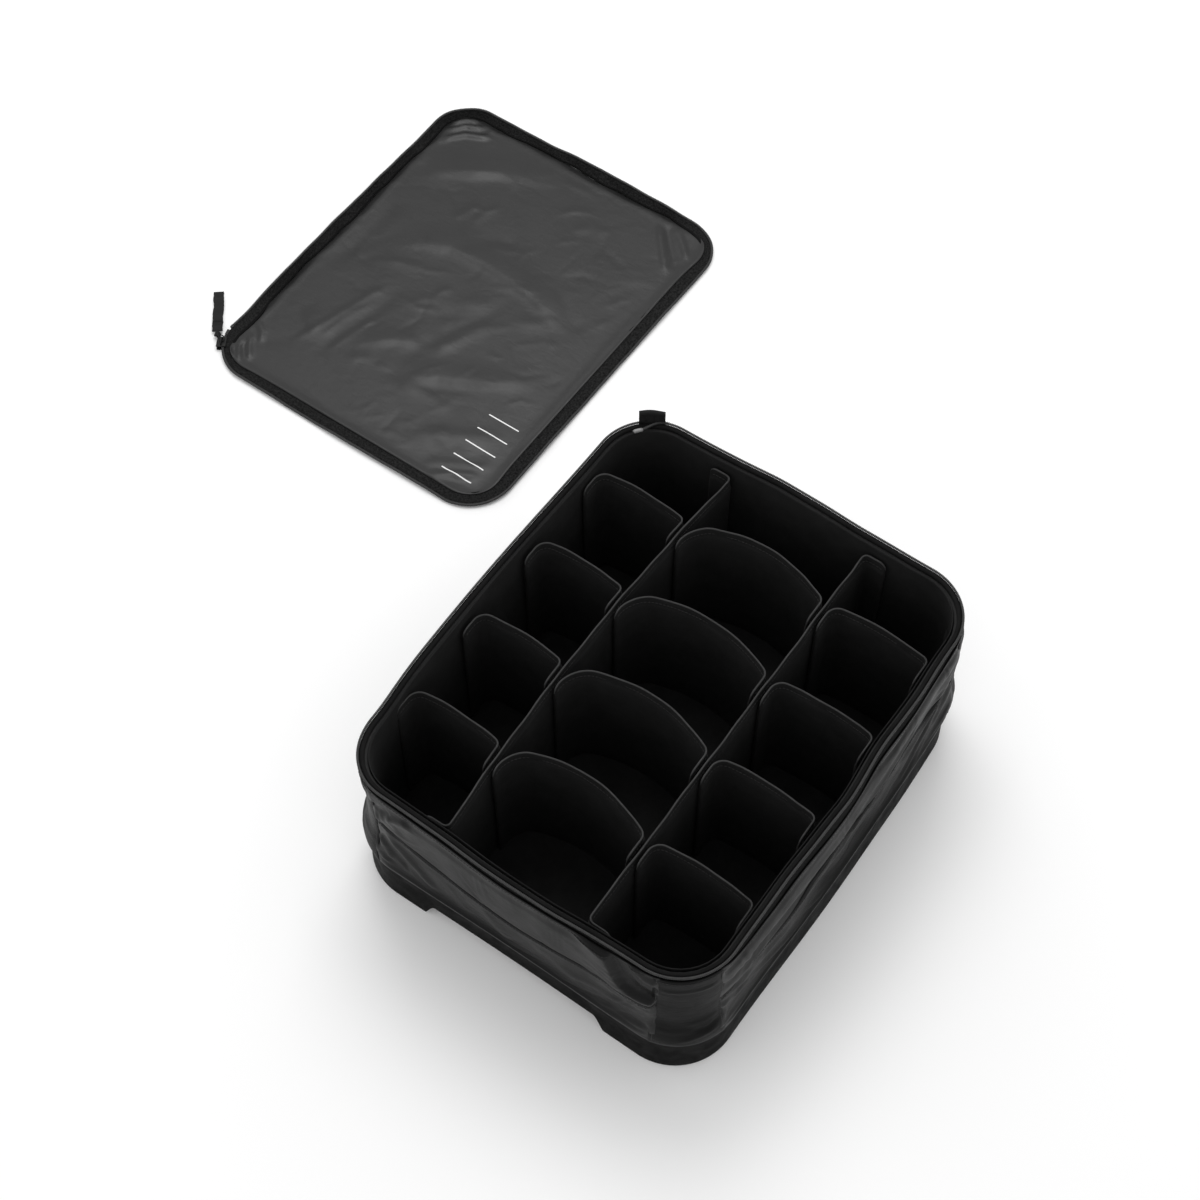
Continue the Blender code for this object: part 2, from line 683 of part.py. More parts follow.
def make_lid_chain(parts, parent, coil):
    """The lid's row of coils along the free edge of its tape, between a retainer box and a stop."""
    gap_turn = FIT_GAP / LID_CORNER_RADIUS
    retainer_turn = RETAINER_LENGTH / LID_CORNER_RADIUS
    stop_turn = STOP_LENGTH / LID_CORNER_RADIUS
    coil_path = lid_path(COIL_RADIUS, LID_ZIP_START + retainer_turn + gap_turn,
                         LID_ZIP_END + FULL_TURN - stop_turn - gap_turn)
    points = [(x, y, LID_COIL_HEIGHT) for x, y in coil_path]
    add_object("lid_zip_coil", tube("lid_zip_coil", points, COIL_RADIUS, 1), parts, coil, parent)
    ends = {"lid_zip_retainer": (LID_ZIP_START, LID_ZIP_START + retainer_turn, RETAINER_HEIGHT),
            "lid_zip_stop": (LID_ZIP_END - stop_turn, LID_ZIP_END, 2 * COIL_RADIUS)}
    for name, (first, last, height) in ends.items():
        end = strip_outline(lid_path, 0, 2 * COIL_RADIUS, first, last)
        plate(name, [end], LID_COIL_HEIGHT - height / 2, LID_COIL_HEIGHT + height / 2, parts, coil, parent)


# Slider and pull. Their own axes: x along the chain, y up, z out from the lid.

def slider_half(side):
    """Cross-section of one plate of the slider with its two inturned lips, in its own y and z."""
    inner = COIL_RADIUS + SLIDER_CLEARANCE
    outer = SLIDER_HALF_HEIGHT
    lip = TAPE_THICKNESS / 2 + SLIDER_CLEARANCE
    low = -SLIDER_HALF_HEIGHT
    high = SLIDER_SIDE
    outline = [(lip, low), (outer, low), (outer, high), (lip, high), (lip, high - SLIDER_WALL),
               (inner, high - SLIDER_WALL), (inner, low + SLIDER_WALL), (lip, low + SLIDER_WALL)]
    return [(side * y, z) for y, z in outline]


def slider_plate(name, side, collection, parent):
    curve = flat_curve(name, [slider_half(side)], SLIDER_LENGTH)
    obj = add_object(name, curve, collection, parent=parent)
    obj.rotation_euler = (QUARTER_TURN, 0, QUARTER_TURN)
    bpy.context.view_layer.update()
    return as_mesh(obj)


def slider_post(collection, parent):
    """The wedge at the slider's front that joins its two plates between the lanes of the coils."""
    half = SLIDER_POST / 2
    outline = [(-half, 0), (0, -half), (half, 0), (0, half)]
    depth = 2 * (COIL_RADIUS + SLIDER_CLEARANCE) + SLIDER_WALL
    curve = flat_curve("slider_post", [outline], depth)
    lane = (COIL_RADIUS + SLIDER_SIDE) / 2
    obj = add_object("slider_post", curve, collection, parent=parent,
                     location=(SLIDER_LENGTH / 2 - SLIDER_POST, 0, lane))
    obj.rotation_euler = (QUARTER_TURN, 0, 0)
    bpy.context.view_layer.update()
    return as_mesh(obj)


def slider_bail(collection, parent):
    """The low bridge along the slider's upper plate that carries its pull."""
    foot = SLIDER_HALF_HEIGHT - SLIDER_WALL / 2
    top = SLIDER_HALF_HEIGHT + BAIL_REACH
    half = BAIL_SPAN / 2
    shoulder = half - BAIL_REACH / 2
    points = smooth_through([(half, foot, 0), (half, (foot + top) / 2, 0), (shoulder, top, 0),
                             (-shoulder, top, 0), (-half, (foot + top) / 2, 0), (-half, foot, 0)], 3)
    obj = add_object("slider_bail", tube("slider_bail", points, BAIL_RADIUS, 1), collection, parent=parent,
                     location=(0, 0, BAIL_PLACE))
    bpy.context.view_layer.update()
    return as_mesh(obj)


def make_slider(parts, cutters, parent, metal):
    """The zip slider, astride the lid's coil on its corner. Its parent sits on the corner's axis."""
    x, y = corner_point(lid_path, COIL_RADIUS, SLIDER_TURN)
    centre_x = -(LID_HALF_WIDTH - LID_CORNER_RADIUS)
    centre_y = -(LID_HALF_LENGTH - LID_CORNER_RADIUS)
    axis = empty("zip_turn_axis", parts, parent, (centre_x, centre_y, LID_COIL_HEIGHT))
    seat = empty("zip_slider_seat", parts, axis, (x - centre_x, y - centre_y, 0))
    seat.rotation_euler = (QUARTER_TURN, 0, SLIDER_TURN + QUARTER_TURN)
    bpy.context.view_layer.update()
    body = slider_plate("zip_slider", -1, parts, seat)
    body.data.materials.append(metal)
    for piece in (slider_plate("slider_upper_plate", 1, cutters, seat), slider_post(cutters, seat),
                  slider_bail(cutters, seat)):
        boolean(body, cutter(piece), "UNION")
    return seat


def cord_end(knot, side):
    """Where one strand of the loop meets the knot, on the knot's upper front."""
    reach = KNOT_RADIUS + FIT_GAP
    level = reach * math.cos(CORD_LIFT_TURN)
    return (knot[0] + level * math.cos(CORD_SPREAD_TURN), knot[1] + reach * math.sin(CORD_LIFT_TURN),
            knot[2] + side * level * math.sin(CORD_SPREAD_TURN))


def cord_points(knot):
    """The loop's way: from the knot, over the slider on its inner side, through the bail, and back."""
    behind = BAIL_SPAN / 2 + CORD_OFFSET + FIT_GAP
    inner, outer = cord_end(knot, -1), cord_end(knot, 1)
    return [inner, ((inner[0] - behind) / 2, FIT_GAP, inner[2] / 2), (-behind, FIT_GAP, -CORD_OFFSET / 2),
            (-behind / 2, FIT_GAP, -CORD_OFFSET - FIT_GAP), (0, 0, -CORD_OFFSET), (0, 0, CORD_OFFSET),
            (-behind / 2, FIT_GAP, CORD_OFFSET + FIT_GAP), (-behind, FIT_GAP, (CORD_OFFSET + outer[2]) / 2),
            outer]


def make_pull(parts, seat, cord, ribbon_finish):
    """The cord loop through the bail, its knot, and the ribbon that runs back along the floor."""
    floor_here = -(LID_COIL_HEIGHT + SWING_AXIS_RISE)
    swing = empty("pull_swing_axis", parts, seat, (0, SWING_AXIS_RISE, BAIL_PLACE))
    knot_place = (-KNOT_BACK, floor_here + FIT_GAP + KNOT_RADIUS, KNOT_SIDE)
    points = smooth_through(cord_points(knot_place), 3)
    add_object("pull_cord_loop", tube("pull_cord_loop", points, CORD_RADIUS, 1), parts, cord, swing)
    knot = bmesh.new()
    bmesh.ops.create_uvsphere(knot, u_segments=12, v_segments=8, radius=KNOT_RADIUS)
    mesh = bpy.data.meshes.new("pull_knot")
    knot.to_mesh(mesh)
    knot.free()
    add_object("pull_knot", mesh, parts, cord, swing, knot_place)
    ribbon = make_ribbon(parts, swing, ribbon_finish)
    ribbon.location = knot_place
    ribbon.rotation_euler = (0, RIBBON_TURN, 0)


def make_ribbon(parts, swing, material):
    """A flat ribbon: a strip eased down from the knot's middle to the floor, then thickened."""
    start = KNOT_RADIUS + FIT_GAP
    low = -KNOT_RADIUS
    facets = 5
    rows = []
    for step in range(facets + 1):
        share = step / facets
        eased_share = (1 + math.cos(math.pi * share)) / 2
        rows.append((start + RIBBON_DROP_LENGTH * share,
                     low - (low + RIBBON_THICKNESS / 2) * eased_share))
    rows.append((start + RIBBON_LENGTH, low))
    work = bmesh.new()
    near = [work.verts.new((-reach, height, -RIBBON_WIDTH / 2)) for reach, height in rows]
    edges = [work.edges.new(pair) for pair in zip(near, near[1:])]
    made = bmesh.ops.extrude_edge_only(work, edges=edges)["geom"]
    far = [item for item in made if isinstance(item, bmesh.types.BMVert)]
    bmesh.ops.translate(work, verts=far, vec=(0, 0, RIBBON_WIDTH))
    bmesh.ops.recalc_face_normals(work, faces=work.faces)
    upward = sum(face.normal.y for face in work.faces)
    if upward < 0:
        bmesh.ops.reverse_faces(work, faces=work.faces)
    mesh = bpy.data.meshes.new("pull_ribbon")
    work.to_mesh(mesh)
    work.free()
    obj = add_object("pull_ribbon", mesh, parts, material, swing)
    solidify = obj.modifiers.new("thickness", "SOLIDIFY")
    solidify.thickness = RIBBON_THICKNESS
    solidify.offset = 1
    solidify.use_even_offset = True
    return obj


def centre_set(parts, root):
    """Moves the whole set so that the origin is under the middle of its bounding box."""
    bpy.context.view_layer.update()
    graph = bpy.context.evaluated_depsgraph_get()
    corners = []
    for obj in parts.objects:
        if obj.type == "EMPTY":
            continue
        evaluated = obj.evaluated_get(graph)
        mesh = evaluated.to_mesh()
        corners += [evaluated.matrix_world @ vertex.co for vertex in mesh.vertices]
        evaluated.to_mesh_clear()
    points = np.array(corners)
    low, high = points.min(axis=0), points.max(axis=0)
    root.location = (-(low[0] + high[0]) / 2, -(low[1] + high[1]) / 2, 0)


def main():
    clear_scene()
    parts = new_collection("camera_bag_insert")
    cutters = new_collection("cutters")

    moulding = finish("moulded_base", (0.018, 0.018, 0.019), 0.62)
    board = finish("stiffener_board", (0.030, 0.030, 0.032), 0.55)
    foam = finish("closed_cell_foam", (0.035, 0.035, 0.037), 0.90)
    velour = finish("loop_velour", (0.008, 0.008, 0.008), 0.95)
    nylon = finish("coated_nylon", (0.045, 0.045, 0.046), 0.38)
    webbing = finish("webbing", (0.020, 0.020, 0.021), 0.70)
    tape = finish("zip_tape", (0.018, 0.018, 0.018), 0.80)
    coil = finish("zip_coil", (0.030, 0.030, 0.030), 0.35)
    metal = finish("slider_metal", (0.030, 0.030, 0.031), 0.35, 0.8)

    root = empty("set_place", parts)
    box = empty("box_place", parts, root)
    lid = empty("lid_place", parts, root, (-(RIM_WIDTH + LID_SPACING), LID_SHIFT, 0))

    make_base(parts, cutters, box, moulding)
    make_floor(parts, box, board, foam)
    make_wall_pads(parts, box, foam)
    make_lining(parts, box, velour)
    make_wall_fabric(parts, box, nylon)
    make_corner_bands(parts, box, nylon)
    make_rim(parts, box, velour)
    make_box_zip(parts, box, tape, coil)
    make_tab(parts, box, webbing)
    make_dividers(parts, box, velour)
    make_lid(parts, lid, nylon, webbing, tape, coil)
    seat = make_slider(parts, cutters, lid, metal)
    make_pull(parts, seat, coil, webbing)
    centre_set(parts, root)


main()
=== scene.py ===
"""Camera bag insert: the fabric, foam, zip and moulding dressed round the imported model, and its studio.

Metres, +Z up, in the row frame. The box's short sides face -Y and +Y, and the lid lies inside up.
"""

import logging
import math
from collections.abc import Callable, Iterator, Sequence
from contextlib import contextmanager
from dataclasses import dataclass, field
from enum import Enum

import bmesh
import bpy
import numpy as np
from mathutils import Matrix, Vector


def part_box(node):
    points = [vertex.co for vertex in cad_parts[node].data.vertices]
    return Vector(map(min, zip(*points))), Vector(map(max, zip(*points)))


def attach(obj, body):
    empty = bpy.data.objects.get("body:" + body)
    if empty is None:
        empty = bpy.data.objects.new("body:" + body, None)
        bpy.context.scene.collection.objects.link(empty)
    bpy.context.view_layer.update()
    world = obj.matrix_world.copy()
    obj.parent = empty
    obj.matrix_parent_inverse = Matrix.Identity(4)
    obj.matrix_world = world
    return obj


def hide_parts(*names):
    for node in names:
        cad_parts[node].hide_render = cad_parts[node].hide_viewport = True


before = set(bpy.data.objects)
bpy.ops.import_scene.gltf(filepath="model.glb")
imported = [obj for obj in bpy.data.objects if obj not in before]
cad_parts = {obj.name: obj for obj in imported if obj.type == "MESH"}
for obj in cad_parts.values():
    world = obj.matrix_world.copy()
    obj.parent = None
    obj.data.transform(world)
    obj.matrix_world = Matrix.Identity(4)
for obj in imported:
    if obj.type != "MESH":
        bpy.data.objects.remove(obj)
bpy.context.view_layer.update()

log = logging.getLogger("camera_bag_insert")

Array = np.ndarray
Place = Callable[[Array, Array], Array]

MM = 0.001
QUARTER = math.pi / 2
UP = np.array([0, 0, 1.0])
WELD = 0.00002
LINING_WELD = 0.0002
ROD_SIDES = 8
EYE = 0.05


class Side(Enum):
    """The straight sides of the box, by the run of the outline that they are."""

    BACK = 1
    LEFT = 3
    FRONT = 5
    RIGHT = 7


class Coords(Enum):
    """What a finish's pattern is fixed to."""

    OBJECT = "Object"
    FLAT = "UV"


# Finishes


class Recipe:
    """The node tree of one finish, with short calls for its usual steps."""

    def __init__(self, name: str) -> None:
        """Starts an empty Principled finish.

        Args:
            name: the material's name.
        """
        self.material = bpy.data.materials.new(name)
        self.material.use_nodes = True
        self.tree = self.material.node_tree
        self.shader = self.tree.nodes["Principled BSDF"]

    def node(self, kind: str, **values: object) -> bpy.types.Node:
        """Adds a node.

        Args:
            kind: the node's type.
            values: properties, or inputs by name with spaces as underscores.

        Returns:
            The node.
        """
        made = self.tree.nodes.new(kind)
        for key, value in values.items():
            label = key.replace("_", " ")
            if label in made.inputs:
                made.inputs[label].default_value = value
            else:
                setattr(made, key, value)
        return made

    def link(self, start: bpy.types.NodeSocket, end: bpy.types.NodeSocket) -> None:
        """Joins two sockets."""
        self.tree.links.new(start, end)

    def set(self, **values: object) -> None:
        """Sets the shader's own sockets, by name with spaces as underscores."""
        for key, value in values.items():
            self.shader.inputs[key.replace("_", " ")].default_value = value

    def where(self, coords: Coords, stretch: tuple[float, float, float] = (1, 1, 1),
              turn: float = 0.0) -> bpy.types.NodeSocket:
        """Coordinates for a pattern.

        Args:
            coords: what the pattern is fixed to.
            stretch: scale along each axis.
            turn: turn about the third axis, in radians.

        Returns:
            The vector socket.
        """
        source = self.node("ShaderNodeTexCoord")
        mapping = self.node("ShaderNodeMapping")
        mapping.inputs["Scale"].default_value = stretch
        mapping.inputs["Rotation"].default_value = (0, 0, turn)
        self.link(source.outputs[coords.value], mapping.inputs["Vector"])
        return mapping.outputs["Vector"]

    def noise(self, where: bpy.types.NodeSocket, scale: float, detail: float = 2.0,
              distortion: float = 0.0) -> bpy.types.NodeSocket:
        """A soft random pattern of a given number of cells to the metre.

        Args:
            where: coordinates.
            scale: cells to the metre.
            detail: how many finer layers it has.
            distortion: how far it is stirred.

        Returns:
            The height socket.
        """
        made = self.node("ShaderNodeTexNoise", Scale=scale, Detail=detail, Distortion=distortion)
        self.link(where, made.inputs["Vector"])
        return made.outputs["Fac"]

    def ribs(self, where: bpy.types.NodeSocket, pitch: float, along: str = "X") -> bpy.types.NodeSocket:
        """Even ribs.

        Args:
            where: coordinates.
            pitch: distance from rib to rib, in metres.
            along: the axis that the ribs follow one another on, X, Y or DIAGONAL.

        Returns:
            The height socket.
        """
        made = self.node("ShaderNodeTexWave", Scale=2 * math.pi / (20 * pitch))
        made.bands_direction = along
        self.link(where, made.inputs["Vector"])
        return made.outputs["Fac"]

    def shades(self, factor: bpy.types.NodeSocket, low: float, high: float,
               first: float = 0.3, last: float = 0.7) -> bpy.types.NodeSocket:
        """A grey that goes from one level to another with a pattern.

        Args:
            factor: the pattern.
            low: grey where the pattern is below first.
            high: grey where it is above last.
            first: lower end of the change.
            last: upper end of the change.

        Returns:
            The colour socket.
        """
        ramp = self.node("ShaderNodeValToRGB")
        ramp.color_ramp.elements[0].position = first
        ramp.color_ramp.elements[0].color = (low, low, low, 1)
        ramp.color_ramp.elements[1].position = last
        ramp.color_ramp.elements[1].color = (high, high, high, 1)
        self.link(factor, ramp.inputs["Fac"])
        return ramp.outputs["Color"]

    def levels(self, factor: bpy.types.NodeSocket, low: float, high: float) -> bpy.types.NodeSocket:
        """A number that goes from one level to another with a pattern."""
        made = self.node("ShaderNodeMapRange", To_Min=low, To_Max=high, From_Min=0.3, From_Max=0.7)
        self.link(factor, made.inputs["Value"])
        return made.outputs["Result"]

    def raise_by(self, height: bpy.types.NodeSocket, distance: float, strength: float = 1.0,
                 under: bpy.types.NodeSocket | None = None) -> bpy.types.NodeSocket:
        """A bump over an earlier one.

        Args:
            height: the pattern.
            distance: its height in metres.
            strength: how strongly it shows.
            under: the normal that it lies on.

        Returns:
            The normal socket.
        """
        made = self.node("ShaderNodeBump", Strength=strength, Distance=distance)
        self.link(height, made.inputs["Height"])
        if under is not None:
            self.link(under, made.inputs["Normal"])
        return made.outputs["Normal"]

    def dress(self, colour: bpy.types.NodeSocket | None = None, normal: bpy.types.NodeSocket | None = None,
              roughness: bpy.types.NodeSocket | None = None) -> bpy.types.Material:
        """Joins the patterns to the shader and returns the material."""
        for socket, name in ((colour, "Base Color"), (normal, "Normal"), (roughness, "Roughness")):
            if socket is not None:
                self.link(socket, self.shader.inputs[name])
        return self.material


@dataclass(frozen=True)
class CoatedNylon:
    """Thin plain-woven nylon with a coating that takes a soft shine and fine creases."""

    name: str = "coated_nylon"
    slot: str = "coated_nylon"
    dark: float = 0.0040
    light: float = 0.0070
    smooth: float = 0.36
    dull: float = 0.50
    thread: float = 0.00055
    crease: float = 0.0006
    shine: float = 0.14
    rules: bool = False

    def make(self) -> bpy.types.Material:
        """Builds the material."""
        mix = Recipe(self.name)
        flat = mix.where(Coords.FLAT)
        mix.set(Specular_IOR_Level=self.shine)
        colour = mix.shades(mix.noise(flat, 14.0, 3.0), self.dark, self.light)
        weave = mix.raise_by(mix.ribs(flat, self.thread, "X"), 0.00003, 0.5)
        weave = mix.raise_by(mix.ribs(flat, self.thread, "Y"), 0.00003, 0.5, weave)
        creases = mix.noise(mix.where(Coords.FLAT, (1.0, 2.2, 1.0), 0.5), 55.0, 3.0, 0.9)
        surface = mix.raise_by(creases, self.crease, 0.55, weave)
        roughness = mix.levels(mix.noise(flat, 30.0, 4.0), self.smooth, self.dull)
        if self.rules:
            colour = self.ruled(mix, flat, colour)
        return mix.dress(colour, surface, roughness)

    @staticmethod
    def ruled(mix: Recipe, flat: bpy.types.NodeSocket, ground: bpy.types.NodeSocket) -> bpy.types.NodeSocket:
        """Plain white write-in rules printed on the cloth.

        Args:
            mix: the finish.
            flat: coordinates on the flat cloth.
            ground: the cloth's own colour.

        Returns:
            The colour socket.
        """
        first, last, low, pitch, weight = 0.106, 0.143, -0.188, 0.0195, 0.0013
        split = mix.node("ShaderNodeSeparateXYZ")
        mix.link(flat, split.inputs["Vector"])

        def step(socket: bpy.types.NodeSocket, operation: str, value: float) -> bpy.types.NodeSocket:
            """One step of arithmetic."""
            made = mix.node("ShaderNodeMath", operation=operation)
            mix.link(socket, made.inputs[0])
            made.inputs[1].default_value = value
            return made.outputs[0]

        def times(one: bpy.types.NodeSocket, other: bpy.types.NodeSocket) -> bpy.types.NodeSocket:
            """Both at once."""
            made = mix.node("ShaderNodeMath", operation="MULTIPLY")
            mix.link(one, made.inputs[0])
            mix.link(other, made.inputs[1])
            return made.outputs[0]

        x, y = split.outputs["X"], split.outputs["Y"]
        across = step(y, "SUBTRACT", low)
        line = step(step(across, "MODULO", pitch), "LESS_THAN", weight)
        within = times(step(across, "GREATER_THAN", 0.0), step(across, "LESS_THAN", 4 * pitch + 2 * weight))
        length = times(step(x, "GREATER_THAN", first), step(x, "LESS_THAN", last))
        mask = times(times(line, within), length)
        paint = mix.node("ShaderNodeMix", data_type="RGBA")
        mix.link(mask, paint.inputs[0])
        mix.link(ground, paint.inputs[6])
        paint.inputs[7].default_value = (0.80, 0.80, 0.80, 1)
        return paint.outputs[2]


@dataclass(frozen=True)
class Velour:
    """Brushed loop velour, nearly black, with a faint drift of its pile."""

    name: str = "loop_velour"
    slot: str = "loop_velour"
    dark: float = 0.0135
    light: float = 0.0185
    sheen: float = 0.01

    def make(self) -> bpy.types.Material:
        """Builds the material."""
        mix = Recipe(self.name)
        solid = mix.where(Coords.OBJECT)
        mix.set(Specular_IOR_Level=0.10, Roughness=0.95, Sheen_Weight=self.sheen, Sheen_Roughness=0.45)
        colour = mix.shades(mix.noise(solid, 45.0, 4.0), self.dark, self.light)
        pile = mix.raise_by(mix.noise(solid, 1500.0, 2.0), 0.0004, 0.6)
        drift = mix.raise_by(mix.noise(solid, 110.0, 2.0), 0.0010, 0.35, pile)
        return mix.dress(colour, drift)


@dataclass(frozen=True)
class Ribbed:
    """A narrow woven strip: edge binding, zip tape or webbing, told apart by its ribs and its grey."""

    name: str
    slot: str
    dark: float
    light: float
    pitch: float
    relief: float
    herringbone: bool = False
    dull: float = 0.7
    shine: float = 0.4
    mottled: bool = False

    def make(self) -> bpy.types.Material:
        """Builds the material."""
        mix = Recipe(self.name)
        flat = mix.where(Coords.FLAT)
        mix.set(Specular_IOR_Level=self.shine, Roughness=self.dull)
        ribs = mix.ribs(flat, self.pitch, "DIAGONAL" if self.herringbone else "X")
        if self.mottled:
            colour = mix.shades(mix.noise(flat, 620.0, 2.0, 0.8), self.dark, self.light, 0.36, 0.64)
        else:
            colour = mix.shades(ribs, self.dark, self.light, 0.2, 0.8)
        surface = mix.raise_by(ribs, self.relief)
        if self.herringbone:
            turned = mix.ribs(mix.where(Coords.FLAT, (1, -1, 1)), self.pitch, "DIAGONAL")
            surface = mix.raise_by(turned, self.relief, 0.6, surface)
        fuzz = mix.raise_by(mix.noise(flat, 900.0, 2.0), self.relief, 0.5, surface)
        return mix.dress(colour, fuzz)


@dataclass(frozen=True)
class Moulding:
    """Moulded plastic with a fine eroded grain and a few dull scuffs."""

    name: str = "moulded_base"
    slot: str = "moulded_base"
    dark: float = 0.0022
    light: float = 0.0036
    grain: float = 0.0007

    def make(self) -> bpy.types.Material:
        """Builds the material."""
        mix = Recipe(self.name)
        solid = mix.where(Coords.OBJECT)
        mix.set(Specular_IOR_Level=0.028)
        colour = mix.shades(mix.noise(solid, 25.0, 5.0), self.dark, self.light)
        grain = mix.raise_by(mix.noise(solid, 1 / self.grain, 3.0), 0.00012, 0.7)
        roughness = mix.levels(mix.noise(solid, 60.0, 6.0, 0.6), 0.46, 0.66)
        return mix.dress(colour, grain, roughness)


@dataclass(frozen=True)
class Hard:
    """A small hard part: zip coils, thread or painted metal."""

    name: str
    slot: str
    grey: float
    dull: float
    metallic: float = 0.0
    shine: float = 0.5
    grain: float = 0.00004

    def make(self) -> bpy.types.Material:
        """Builds the material."""
        mix = Recipe(self.name)
        solid = mix.where(Coords.OBJECT)
        mix.set(Specular_IOR_Level=self.shine, Metallic=self.metallic)
        colour = mix.shades(mix.noise(solid, 350.0, 3.0), self.grey * 0.82, self.grey * 1.18)
        roughness = mix.levels(mix.noise(solid, 500.0, 3.0), self.dull * 0.85, self.dull * 1.15)
        return mix.dress(colour, mix.raise_by(mix.noise(solid, 2500.0), self.grain, 0.6), roughness)


@dataclass(frozen=True)
class Foam:
    """Closed-cell foam, seen only where a pad's edge shows."""

    name: str = "closed_cell_foam"
    slot: str = "closed_cell_foam"
    grey: float = 0.030

    def make(self) -> bpy.types.Material:
        """Builds the material."""
        mix = Recipe(self.name)
        solid = mix.where(Coords.OBJECT)
        cells = mix.node("ShaderNodeTexVoronoi", Scale=1100.0)
        mix.link(solid, cells.inputs["Vector"])
        mix.set(Specular_IOR_Level=0.25, Roughness=0.9)
        colour = mix.shades(cells.outputs["Distance"], self.grey * 0.6, self.grey, 0.1, 0.6)
        return mix.dress(colour, mix.raise_by(cells.outputs["Distance"], 0.0003, 0.7))


class Rack:
    """Every finish of the set, each made once."""

    def __init__(self) -> None:
        """Makes the finishes."""
        self.nylon = CoatedNylon().make()
        # The corner bands are the walls' own nylon; this copy is made darker and duller: painted shade on the bands.
        self.band_nylon = CoatedNylon(name="band_nylon", dark=0.0036, light=0.0056, shine=0.04).make()
        self.lid_nylon = CoatedNylon(name="lid_nylon", dark=0.0100, light=0.0132, smooth=0.35, dull=0.46,
                                     crease=0.0005, shine=0.43, rules=True).make()
        # Lining and collar are one velour: the copy on the lining and dividers is about twice as light as the
        # collar's, painted light that lifts the shade of the deep compartments.
        self.velour = Velour().make()
        self.collar = Velour("collar_velour", "loop_velour", 0.0050, 0.0090, 0.01).make()
        # Lighter grey for the top millimetre of each divider's crest, a painted highlight along the top edge, and for
        # the dividers' stitches, the thread's own colour.
        self.edge_highlight_and_thread = Ribbed("edge_binding", "loop_velour", 0.028, 0.042, 0.0009, 0.00008, dull=0.6).make()
        self.zip_tape = Ribbed("zip_tape", "zip_tape", 0.0030, 0.0140, 0.0011, 0.00010, herringbone=True,
                               dull=0.9, shine=0.02, mottled=True).make()
        # The lid's half of the zip is the same tape as the box's, made lighter and shinier: painted light on the
        # face-up tape.
        self.lid_tape = Ribbed("lid_zip_tape", "zip_tape", 0.0045, 0.0215, 0.0011, 0.00012, herringbone=True,
                               dull=0.9, shine=0.06, mottled=True).make()
        # Near-black roll in the crease between the lid's tape and sheet: painted shade.
        self.piping_painted_shade = Ribbed("lid_piping", "webbing", 0.0040, 0.0070, 0.0011, 0.00010, shine=0.05).make()
        self.webbing = Ribbed("webbing", "webbing", 0.0110, 0.0190, 0.0011, 0.00014, shine=0.15).make()
        self.coil = Hard("zip_coil", "zip_coil", 0.030, 0.42, shine=0.22).make()
        self.thread = Hard("sewing_thread", "webbing", 0.026, 0.60, shine=0.25).make()
        self.pin = Hard("zip_pin", "zip_coil", 0.20, 0.28).make()
        self.metal = Hard("slider_metal", "slider_metal", 0.022, 0.40, metallic=0.85).make()
        self.moulding = Moulding().make()
        self.board = Hard("stiffener_board", "stiffener_board", 0.030, 0.55).make()
        self.foam = Foam().make()
        self.cord = Ribbed("pull_cord", "zip_coil", 0.0100, 0.0240, 0.0009, 0.00010, shine=0.2).make()


# Shapes


def smooth_step(value: Array) -> Array:
    """Eases a share from 0 to 1, flat at both ends."""
    share = np.clip(value, 0, 1)
    return share * share * (3 - 2 * share)


def even_steps(first: float, last: float, pitch: float) -> Array:
    """Stations from first to last, about a pitch apart, both ends among them."""
    return np.linspace(first, last, max(1, round(abs(last - first) / pitch)) + 1)


def ripple(where: Array, seed: int, wavelengths: Sequence[float]) -> Array:
    """A fixed random waver along a line, between about -1 and 1.

    Args:
        where: places along the line, in metres.
        seed: which waver.
        wavelengths: its wavelengths, longest first, in metres.

    Returns:
        The height at each place.
    """
    dice = np.random.default_rng(seed)
    total = np.zeros_like(where, float)
    for order, length in enumerate(wavelengths):
        phase, stretch = dice.uniform(0, 2 * math.pi), dice.uniform(0.85, 1.15)
        total += np.sin(2 * math.pi * where / (length * stretch) + phase) * 0.6 ** order
    return total / sum(0.6 ** order for order in range(len(wavelengths)))


def rumple(x: Array, y: Array, seed: int, wavelength: float, count: int = 7) -> Array:
    """A fixed random relief over a sheet, made of crossing swells.

    Args:
        x: first coordinate, in metres.
        y: second coordinate.
        seed: which relief.
        wavelength: the swells' middle wavelength.
        count: how many swells cross.

    Returns:
        The height at each place, between about -1 and 1.
    """
    dice = np.random.default_rng(seed)
    total = np.zeros_like(x, float)
    for _ in range(count):
        turn, phase = dice.uniform(0, math.pi), dice.uniform(0, 2 * math.pi)
        length = wavelength * dice.uniform(0.6, 1.5)
        total += np.sin(2 * math.pi * (x * math.cos(turn) + y * math.sin(turn)) / length + phase)
    return total / math.sqrt(count)


